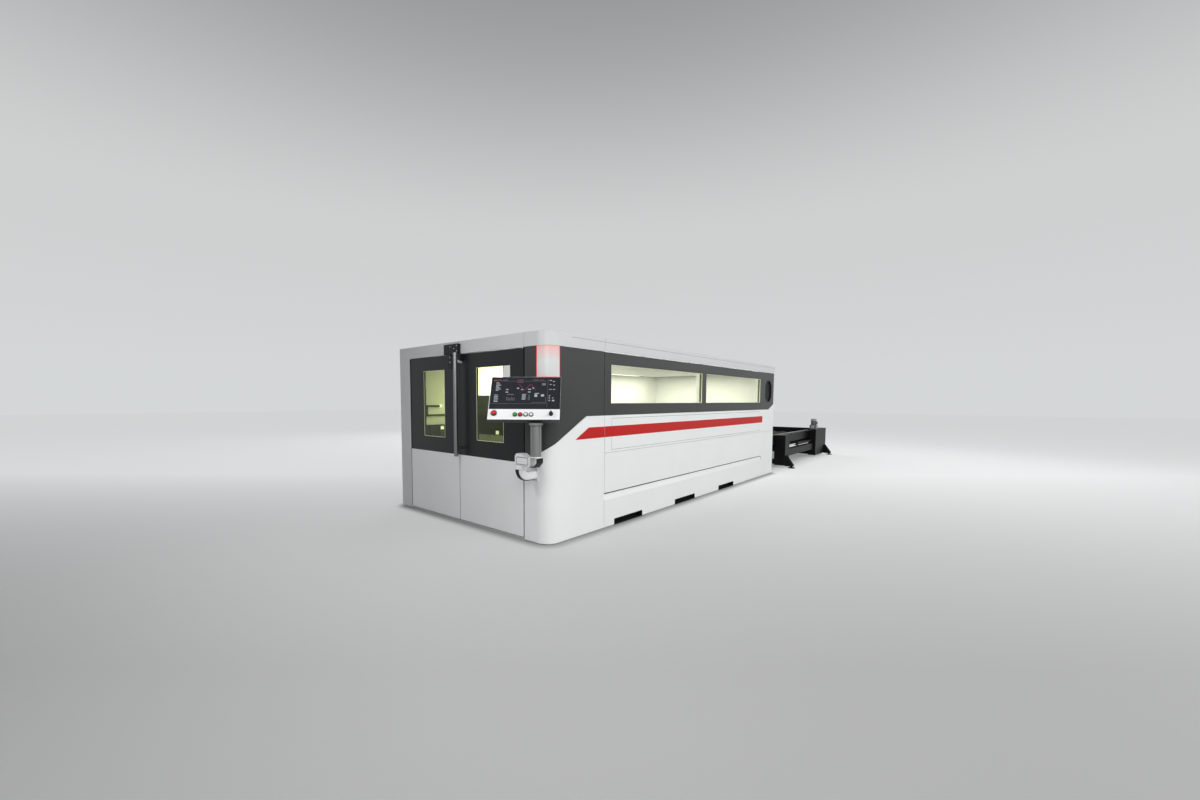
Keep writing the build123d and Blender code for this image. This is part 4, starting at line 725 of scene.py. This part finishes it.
def brushed(name, colour, roughness, along=(1.0, 1.0, 0.03), fine=900):
    """Give a brushed metal: noise stretched along one axis tints the metal and roughens it in lines."""
    made, nodes, links = new_finish(name)
    shader = nodes["Principled BSDF"]
    shader.inputs["Metallic"].default_value = 1.0
    place = nodes.new("ShaderNodeTexCoord")
    draw = nodes.new("ShaderNodeMapping")
    draw.inputs["Scale"].default_value = along
    lines = nodes.new("ShaderNodeTexNoise")
    lines.inputs["Scale"].default_value = fine
    tone = nodes.new("ShaderNodeValToRGB")
    tone.color_ramp.elements[0].color = [part * 0.86 for part in colour] + [1]
    tone.color_ramp.elements[1].color = [min(1, part * 1.08) for part in colour] + [1]
    sheen = nodes.new("ShaderNodeMapRange")
    sheen.inputs["To Min"].default_value = roughness - 0.06
    sheen.inputs["To Max"].default_value = roughness + 0.10
    links.new(place.outputs["Object"], draw.inputs["Vector"])
    links.new(draw.outputs["Vector"], lines.inputs["Vector"])
    links.new(lines.outputs["Fac"], tone.inputs["Fac"])
    links.new(lines.outputs["Fac"], sheen.inputs["Value"])
    links.new(tone.outputs["Color"], shader.inputs["Base Color"])
    links.new(sheen.outputs["Result"], shader.inputs["Roughness"])
    return made


handle_steel = brushed("handle_steel", (0.26, 0.26, 0.27), 0.34)
coat(handle_steel, "door_handle")

# ---- Door lock -----------------------------------------------------------------------------------
# The interlock's two-part black housing over the doors' seam, and its keeper plate on the left leaf.
coat(black_moulding, "lock_housing")
screw_steel = cloudy("screw_steel", (0.62, 0.62, 0.63), 0.3, 120, 0.05, 0.03, 1.0)


def screw_heads(places, y, heights, radii, sides=16):
    """Stand a screw head on the face at y for each x and z, pointing at the front."""
    return merge(*(turned((x, y, z), (0, -1, 0), heights, radii, sides) for x, z in places))


def rounded_plate(width, height, corner, x, z, y_from, y_to):
    """Give a plate with rounded corners about x and z, carried from one depth to the other."""
    path = [(x, y_from, z), (x, y_to, z)]
    return carry_profile(rounded_rectangle(width, height, corner), path, (1, 0, 0))


lock_screw_places = ((-0.030, 2.045), (-0.030, 1.985), (-0.085, 2.016), (-0.160, 2.040))
build(
    "lock_screws",
    screw_heads(lock_screw_places, -0.0418, (0, 0.003, 0.005), (0.007, 0.007, 0.004)),
    screw_steel,
    "machine",
)
build(
    "lock_keeper",
    rounded_plate(0.074, 0.150, 0.010, -0.205, 1.872, 0.0075, -0.014),
    black_moulding,
    "left_door",
)
build(
    "keeper_screws",
    screw_heads(((-0.205, 1.922), (-0.205, 1.866)), -0.0138, (0, 0.003, 0.005), (0.008, 0.008, 0.004)),
    screw_steel,
    "left_door",
)
build(
    "latch_bracket",
    rounded_plate(0.020, 0.082, 0.004, 0.020, 1.911, 0.0079, -0.034),
    black_moulding,
    "right_door",
)
bright_sleeve = cloudy("bright_sleeve", (0.80, 0.80, 0.81), 0.25, 120, 0.05, 0.03, 0.3)
build(
    "stay_sleeves",
    turned(
        (-0.018, 0.0079, 1.866), (0, -1, 0), (0, 0.003, 0.052, 0.055), (0.0200, 0.0172, 0.0172, 0.0140), 24
    ),
    bright_sleeve,
    "right_door",
)

# ---- Machine bed ---------------------------------------------------------------------------------
# Welded box beams, stress-relieved and painted; guides and pallet rails are ground steel.
bed_paint = cloudy("bed_paint", (0.055, 0.065, 0.050), 0.5, 200, 0.06, 0.08)
rail_steel = brushed("rail_steel", (0.60, 0.60, 0.61), 0.3, (1.0, 0.03, 1.0))
coat(bed_paint, "machine_bed")
coat(rail_steel, "bed_rails")
oiled_steel = cloudy("oiled_steel", (0.012, 0.012, 0.013), 0.5, 220, 0.1, 0.08, 0.3)
coat(oiled_steel, "bed_feet")

# ---- Gantry, carriage and cutting head -----------------------------------------------------------
# An aluminium beam on two trucks; the carriage's dark green hood stands in front of it, round the head,
# with a pleated face that is paler higher up.
gantry_paint = cloudy("gantry_paint", (0.55, 0.57, 0.56), 0.42, 240, 0.04, 0.04)
hood_green = cloudy("hood_green", (0.020, 0.032, 0.014), 0.55, 300, 0.1, 0.08)
head_steel = brushed("head_steel", (0.66, 0.66, 0.67), 0.28)
coat(gantry_paint, "gantry_beam")
coat(hood_green, "carriage")
coat(head_steel, "cutting_head")
pleat_count = 20
pleat_depth = 0.011
fold_x = np.linspace(0, 0.565, 2 * pleat_count + 1)
fold_out = 0.0015 + pleat_depth * (np.arange(2 * pleat_count + 1) % 2)
hood_pleats = np.concatenate(
    [np.column_stack([fold_x, fold_out]), [(fold_x[-1], 0.0002), (fold_x[0], 0.0002)]]
)
pleat_green = cloudy("pleat_green", (0.030, 0.060, 0.016), 0.6, 300, 0.15, 0.1)
tint_above(pleat_green, 1.20, 1.50, (0.20, 0.28, 0.10))
build(
    "hood_pleats",
    carry_profile(hood_pleats, [(-0.5275, 0.589, 1.000), (-0.5275, 0.589, 1.480)], (1, 0, 0)),
    pleat_green,
    "carriage",
)
# The hood's white plate glows with the same painted light, though it is no lamp.
build(
    "hood_plate",
    straight_bar((-0.094, 0.5740, 0.998), (-0.038, 0.5762, 1.042)),
    pale_plate_painted_glow,
    "carriage",
)

# ---- Pallets -------------------------------------------------------------------------------------
# Two black welded frames on steel wheels, each with a comb of laser-cut slats, brown with scale.
table_black = cloudy("table_black", (0.007, 0.007, 0.008), 0.42, 260, 0.1, 0.08, gloss=0.12)
slat_scale = cloudy("slat_scale", (0.20, 0.17, 0.15), 0.5, 90, 0.25, 0.3, 0.7)
coat(table_black, "pallet_1_frame", "pallet_2_frame")
coat(slat_scale, "pallet_1_slats", "pallet_2_slats")

# ---- Shuttle table -------------------------------------------------------------------------------
# Black posts, beams and lift; a hard-chromed rod runs out of the lift cylinder on each side.
chrome = cloudy("hard_chrome", (0.82, 0.82, 0.84), 0.09, 30, 0.02, 0.0, 1.0)
motor_grey = cloudy("motor_grey", (0.16, 0.17, 0.18), 0.4, 200, 0.06, 0.08)
coat(table_black, "shuttle_posts", "shuttle_beams", "shuttle_feet", "lift_frame", "lift_cylinders")
coat(chrome, "lift_rods")
coat(motor_grey, "drive_motor")
build(
    "beam_top_rails",
    merge(
        *(
            straight_bar((side * 1.106, 6.410, 0.6895), (side * 1.124, 9.870, 0.6945))
            for side in (-1, 1)
        )
    ),
    rail_steel,
    "machine",
)
# A pale strip along the outer edge of each beam's top is a painted highlight, the light that edge catches.
edge_painted_highlight = cloudy("edge_painted_highlight", (0.55, 0.55, 0.56), 0.4, 60, 0.2, 0.1, 0.4)
build(
    "beam_painted_highlights",
    merge(
        *(
            straight_bar((side * 1.2405, 7.320, 0.6989), (side * 1.2458, 9.870, 0.7001))
            for side in (-1, 1)
        )
    ),
    edge_painted_highlight,
    "machine",
)
motor_x, motor_y = 1.2125, 9.990
fin_steps = 96
fin_angle = np.linspace(0, 2 * math.pi, fin_steps, endpoint=False)
fin_out = np.where(np.arange(fin_steps) % 4 < 2, 0.0645, 0.0570)
fins = np.column_stack([np.cos(fin_angle) * fin_out, np.sin(fin_angle) * fin_out])
build(
    "motor_fins",
    carry_profile(fins, [(motor_x, motor_y, 0.817), (motor_x, motor_y, 0.912)], (1, 0, 0)),
    motor_grey,
    "machine",
)
cover_grey = cloudy("fan_cover_grey", (0.40, 0.41, 0.42), 0.4, 160, 0.05, 0.03)
build(
    "fan_cover",
    turned(
        (motor_x, motor_y, 0.9140),
        (0, 0, 1),
        (0, 0.002, 0.040, 0.052, 0.055),
        (0.064, 0.0665, 0.0665, 0.056, 0.030),
    ),
    cover_grey,
    "machine",
)
build(
    "motor_plate",
    straight_bar((1.180, 9.9130, 0.735), (1.245, 9.9148, 0.790)),
    cloudy("rating_plate", (0.50, 0.50, 0.50), 0.45, 90, 0.03, 0.02),
    "machine",
)

# ---- Control arm ---------------------------------------------------------------------------------
# Cast aluminium bends painted light grey, a grooved tube between them, and black cable covers.
arm_grey = cloudy("arm_grey", (0.76, 0.77, 0.77), 0.36, 320, 0.05, 0.06)
tube_grey = cloudy("tube_grey", (0.215, 0.215, 0.215), 0.4, 240, 0.08, 0.06)
coat(arm_grey, "arm_wall_elbow", "arm_upper_elbow")
coat(tube_grey, "arm_tube", "panel_coupling")


def round_edges(made, width, rings=3):
    """Round the sharp edges of a closed piece, as a casting's are."""
    rounding = made.modifiers.new("round_edges", "BEVEL")
    rounding.width = width
    rounding.segments = rings
    rounding.limit_method = "ANGLE"
    rounding.angle_limit = math.radians(30)
    rounding.harden_normals = True


# The wall bend: a rounded square section carried straight out of its flange and round a quarter circle of
# 75 mm up to the swivel; point = (bend's centre) + 75 mm x (-sin a, -cos a) in y and z.
swivel_x, swivel_y = 1.198, -0.200
flange_z = 0.695
bend_radius = 0.075
bend_angle = np.linspace(0, math.pi / 2, 15)
bend_path = np.concatenate(
    [
        [(swivel_x, -0.012, flange_z), (swivel_x, -0.060, flange_z)],
        np.column_stack(
            [
                np.full(len(bend_angle), swivel_x),
                swivel_y + bend_radius * (1 - np.sin(bend_angle)),
                flange_z + bend_radius * (1 - np.cos(bend_angle)),
            ]
        ),
    ]
)
wall_bend = build(
    "arm_wall_bend",
    merge(
        carry_profile(rounded_rectangle(0.080, 0.080, 0.022), bend_path, (1, 0, 0)),
        rounded_plate(0.092, 0.130, 0.014, swivel_x, flange_z, -0.0002, -0.014),
        turned(
            (swivel_x, swivel_y, 0.7702),
            (0, 0, 1),
            (0, 0.004, 0.016, 0.0196),
            (0.0500, 0.0590, 0.0590, 0.0560),
            40,
        ),
    ),
    arm_grey,
    "machine",
)
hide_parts("arm_wall_elbow")
build(
    "flange_screws",
    screw_heads(
        [(swivel_x + x, flange_z + z) for x in (-0.034, 0.034) for z in (-0.053, 0.053)],
        -0.0138,
        (0, 0.005, 0.006),
        (0.006, 0.006, 0.004),
        14,
    ),
    screw_steel,
    "machine",
)

# The upper casting: a box over the swivel, humped over the cable's way in, with a lid on its front.
casting_side = np.array(
    [
        (1.1600, 0.8107),
        (1.3680, 0.8107),
        (1.3680, 0.8985),
        (1.2950, 0.8990),
        (1.2500, 0.9230),
        (1.1800, 0.9230),
        (1.1600, 0.8980),
    ]
)
upper_casting = build(
    "arm_upper_casting",
    carry_profile(casting_side, [(0, -0.243, 0), (0, -0.157, 0)], (1, 0, 0)),
    arm_grey,
    "arm",
)
round_edges(upper_casting, 0.009)
build(
    "arm_swivel_disc",
    turned(
        (swivel_x, swivel_y, 0.7907),
        (0, 0, 1),
        (0, 0.003, 0.015, 0.0198),
        (0.0600, 0.0622, 0.0622, 0.0590),
        40,
    ),
    arm_grey,
    "arm",
)
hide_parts("arm_upper_elbow")
lid_x, lid_z = 1.268, 0.857
build(
    "arm_casting_lid",
    rounded_plate(0.150, 0.062, 0.010, lid_x, lid_z, -0.2428, -0.2448),
    arm_grey,
    "arm",
)
lid_gap = rounded_rectangle(0.155, 0.067, 0.012)
build(
    "lid_gasket",
    carry_profile(
        rectangle(0.0012, 0.0050),
        np.column_stack([lid_x + lid_gap[:, 0], np.full(len(lid_gap), -0.2432), lid_z + lid_gap[:, 1]]),
        (0, 1, 0),
        closed=True,
    ),
    matt_black_and_painted_shade,
    "arm",
)
tube_x, tube_y = 1.410, -0.200
build(
    "arm_tube_collar",
    carry_profile(
        rounded_rectangle(0.100, 0.088, 0.030),
        [(tube_x, tube_y, 0.8976), (tube_x, tube_y, 0.9010), (tube_x, tube_y, 0.9060)],
        (1, 0, 0),
        scale=(1.0, 1.0, 0.95),
    ),
    arm_grey,
    "arm",
)
coat(black_moulding, "arm_elbow_strip", "arm_end_cap")

# ---- Control panel -------------------------------------------------------------------------------
# A shallow steel box with a white front plate, a dark touch screen and one row of controls under it.
panel_white = cloudy("panel_white", (0.84, 0.84, 0.84), 0.4, 500, 0.01, 0.04)
screen_dark = cloudy("screen_dark", (0.016, 0.018, 0.024), 0.12, 20, 0.1, 0.0)
coat(panel_white, "panel_housing")
coat(screen_dark, "screen")
red_cap = cloudy("red_cap", (0.60, 0.02, 0.02), 0.3, 150, 0.04, 0.02)
green_cap = cloudy("green_cap", (0.03, 0.36, 0.06), 0.3, 150, 0.04, 0.02)
white_cap = cloudy("white_cap", (0.82, 0.82, 0.80), 0.3, 150, 0.03, 0.02)
coat(black_moulding, "selector_knob")
face_turn, face_lean = math.radians(38.8), math.radians(30)
face_ahead = np.array([math.sin(face_turn), -math.cos(face_turn), 0.0])
face_right = np.array([math.cos(face_turn), math.sin(face_turn), 0.0])
face_out = face_ahead * math.cos(face_lean) + np.array([0, 0, math.sin(face_lean)])
face_up = -face_ahead * math.sin(face_lean) + np.array([0, 0, math.cos(face_lean)])
# The face's lower edge stands 68 mm ahead of the tube and its middle 109 mm to the tube's left.
lower_edge_z, lower_edge_ahead, half_height, left_of_tube = 1.243, 0.068, 0.233, 0.109
face_middle = (
    np.array([tube_x, tube_y, lower_edge_z + half_height * math.cos(face_lean)])
    + face_ahead * (lower_edge_ahead - half_height * math.sin(face_lean))
    - face_right * left_of_tube
)

# The housing is white on its front and black on its sides and back, in two tones of paint; the black band
# along its foot is painted shade, for the shade under its lower rounding.
panel_nodes, panel_links = panel_white.node_tree.nodes, panel_white.node_tree.links
panel_place = panel_nodes.new("ShaderNodeVectorMath")
panel_place.operation = "SUBTRACT"
panel_place.inputs[1].default_value = face_middle
panel_links.new(panel_nodes["Texture Coordinate"].outputs["Object"], panel_place.inputs[0])
panel_sides = []
# The second border marks the foot's black band, which is painted shade.
for direction, border in ((face_out, -0.003), (face_up, -0.2235)):
    along_face = panel_nodes.new("ShaderNodeVectorMath")
    along_face.operation = "DOT_PRODUCT"
    along_face.inputs[1].default_value = direction
    past_border = panel_nodes.new("ShaderNodeMath")
    past_border.operation = "GREATER_THAN"
    past_border.inputs[1].default_value = border
    panel_links.new(panel_place.outputs["Vector"], along_face.inputs[0])
    panel_links.new(along_face.outputs["Value"], past_border.inputs[0])
    panel_sides.append(past_border)
panel_front = panel_nodes.new("ShaderNodeMath")
panel_front.operation = "MULTIPLY"
panel_paint_and_foot_shade = panel_nodes.new("ShaderNodeMix")
panel_paint_and_foot_shade.data_type = "RGBA"
panel_paint_and_foot_shade.inputs["A"].default_value = (0.012, 0.012, 0.013, 1)
panel_links.new(panel_sides[0].outputs[0], panel_front.inputs[0])
panel_links.new(panel_sides[1].outputs[0], panel_front.inputs[1])
panel_links.new(panel_front.outputs[0], panel_paint_and_foot_shade.inputs["Factor"])
panel_links.new(panel_nodes["Color Ramp"].outputs["Color"], panel_paint_and_foot_shade.inputs["B"])
panel_links.new(panel_paint_and_foot_shade.outputs["Result"], panel_nodes["Principled BSDF"].inputs["Base Color"])


def on_face(x, y, out):
    """Give the point x to the right, y up and out from the middle of the panel's face."""
    return face_middle + x * face_right + y * face_up + out * face_out


def collar(x, y, inner, outer, height, sides=32):
    """Stand a ring on the face: a rectangle carried round a circle about the control's axis."""
    angle = np.linspace(0, 2 * math.pi, sides, endpoint=False)[:, None]
    middle = (inner + outer) / 2
    circle = on_face(x, y, height / 2) + middle * (np.cos(angle) * face_right + np.sin(angle) * face_up)
    return carry_profile(rectangle(height, outer - inner), circle, face_out, closed=True)


def face_mark(x_low, y_low, x_high, y_high, out=0.0001, thick=0.0004):
    """Lay a thin flat mark on the face."""
    x, y = (x_low + x_high) / 2, (y_low + y_high) / 2
    path = [on_face(x, y, out), on_face(x, y, out + thick)]
    return carry_profile(rectangle(abs(x_high - x_low), abs(y_high - y_low)), path, face_right)


# Round caps with a soft shoulder, each in its black collar; a red mushroom head on a dark grey collar; and
# the selector's pointed knob on a round plate, with a white line along its back.
button_y = -0.173
button_x = (-0.080, -0.030, 0.020, 0.070)
stop_x, stop_y = -0.275, -0.159
collars = build(
    "control_collars",
    merge(
        *(collar(x, button_y, 0.0142, 0.0205, 0.0085) for x in button_x),
        collar(0.252, -0.165, 0.0020, 0.0195, 0.0060),
    ),
    black_moulding,
    "panel",
)
build(
    "stop_collar",
    collar(stop_x, stop_y, 0.0112, 0.0290, 0.0080, 40),
    cloudy("collar_grey", (0.035, 0.035, 0.038), 0.4, 150, 0.05, 0.03),
    "panel",
)
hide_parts("button_bezels")
for x, name, finish, slot in zip(
    button_x,
    ("green", "red", "white_left", "white_right"),
    (green_cap, red_cap, white_cap, white_cap),
    ("green_plastic", "red_plastic", "white_plastic", "white_plastic"),
):
    cap = build(
        f"{name}_cap",
        turned(
            on_face(x, button_y, 0.005),
            face_out,
            (0, 0.0055, 0.0072, 0.0080),
            (0.0136, 0.0136, 0.0124, 0.0090),
        ),
        finish,
        name,
    )
    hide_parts(f"{name}_button")
stop_head = build(
    "stop_head",
    turned(
        on_face(stop_x, stop_y, 0.0),
        face_out,
        (0.0050, 0.0122, 0.0124, 0.0145, 0.0205, 0.0245, 0.0262),
        (0.0095, 0.0095, 0.0160, 0.0198, 0.0200, 0.0160, 0.0060),
        40,
    ),
    red_cap,
    "stop_button",
)
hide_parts("estop_button")
build(
    "knob_line",
    face_mark(0.2508, -0.1600, 0.2532, -0.1440, 0.0284, 0.0006),
    white_cap,
    "selector",
)

# The black glass that carries the screen runs on to the housing's top and side edges.
build(
    "screen_surround",
    merge(
        face_mark(-0.3270, -0.1155, -0.3181, 0.2232),
        face_mark(0.3181, -0.1155, 0.3305, 0.2232),
        face_mark(-0.3270, 0.2232, 0.3305, 0.2315),
    ),
    black_moulding,
    "panel",
)

# What the lit screen shows: plain lines, dots and boxes that stand for lists, a drawing and a column of
# keys, each given by its place on the screen, across and down from the screen's top left corner.


def lit(name, colour, strength):
    """Give the light of the screen's picture elements in one colour."""
    made = cloudy(name, colour, 0.3, 60, 0.08, 0.0)
    glow(made, colour, strength)
    return made


screen_left, screen_top, screen_unit = -0.318, 0.223, 0.000636


def on_screen(x, y):
    """Give the place on the face of a point x across and y down the screen, in thousandths of its width."""
    return screen_left + x * screen_unit, screen_top - y * screen_unit


def screen_marks(places):
    """Lay one mark for each row of (left, top, width, height), in thousandths of the screen's width."""
    return merge(
        *(face_mark(*on_screen(x, y + high), *on_screen(x + wide, y)) for x, y, wide, high in places)
    )


pale_marks = [(60, 80 + 22 * row, 40 + 17 * (row % 3), 10) for row in range(7)]
pale_marks += [(45, 292 + 22 * row, 50 + 14 * (row % 2), 9) for row in range(6)]
pale_marks += [(210, 196, 40, 14), (210, 240, 38, 14), (540, 190, 42, 16), (540, 238, 40, 14)]
pale_marks += [(372, 172, 34, 18), (436, 196, 30, 14), (604, 170, 26, 18)]
pale_marks += [(455, 280 + 17 * row, 62 - 11 * (row % 2), 8) for row in range(6)]
pale_marks += [(640, 262, 66, 12), (640, 284, 40, 44), (735, 285, 46, 36)]
pale_marks += [(852, 40, 34, 12), (900, 58, 30, 12), (856, 110, 30, 10), (908, 120, 26, 12)]
pale_marks += [(850, 196, 38, 9), (904, 196, 34, 9), (850, 300, 18, 16), (850, 338, 18, 16)]
pale_marks += [(902, 338, 16, 14), (850, 380, 20, 16), (900, 378, 34, 22)]
dim_marks = [(150, 34, 80, 8), (372, 34, 90, 8), (600, 34, 92, 8), (700, 34, 76, 6)]
dim_marks += [(232 + 22 * bar, 330 + 9 * (bar % 3), 7, 60 - 9 * (bar % 3)) for bar in range(6)]
dim_marks += [(545, 292 + 20 * row, 30, 7) for row in range(5)]
dim_marks += [(600, 418, 208, 4), (804, 330, 4, 90), (20, 440, 800, 3), (742, 92, 56, 40)]
dim_marks += [(238, 282, 96, 10), (20, 56, 800, 3), (828, 20, 3, 470)]
screen_pale = lit("screen_pale", (0.36, 0.39, 0.42), 0.16)
screen_dim = lit("screen_dim", (0.13, 0.14, 0.16), 0.12)
build("screen_lists", screen_marks(pale_marks), screen_pale, "panel")
build("screen_frames", screen_marks(dim_marks), screen_dim, "panel")
# The drawing is a wave of one and a half periods: down = 118 + 46 x (1 - cos a) for a from 0 to 3 pi.
wave = np.linspace(0, 1, 25)[:, None]
wave_x, wave_y = on_screen(400 + 260 * wave, 118 + 46 * (1 - np.cos(wave * 3 * math.pi)))
drawing = on_face(wave_x, wave_y, 0.0004)
build(
    "screen_drawing",
    merge(
        carry_profile(rectangle(0.0006, 0.0020), drawing, face_out),
        screen_marks([(22, 38, 52, 9), (82, 34, 52, 8), (372, 74, 90, 7)]),
    ),
    lit("screen_red", (0.42, 0.05, 0.08), 0.22),
    "panel",
)
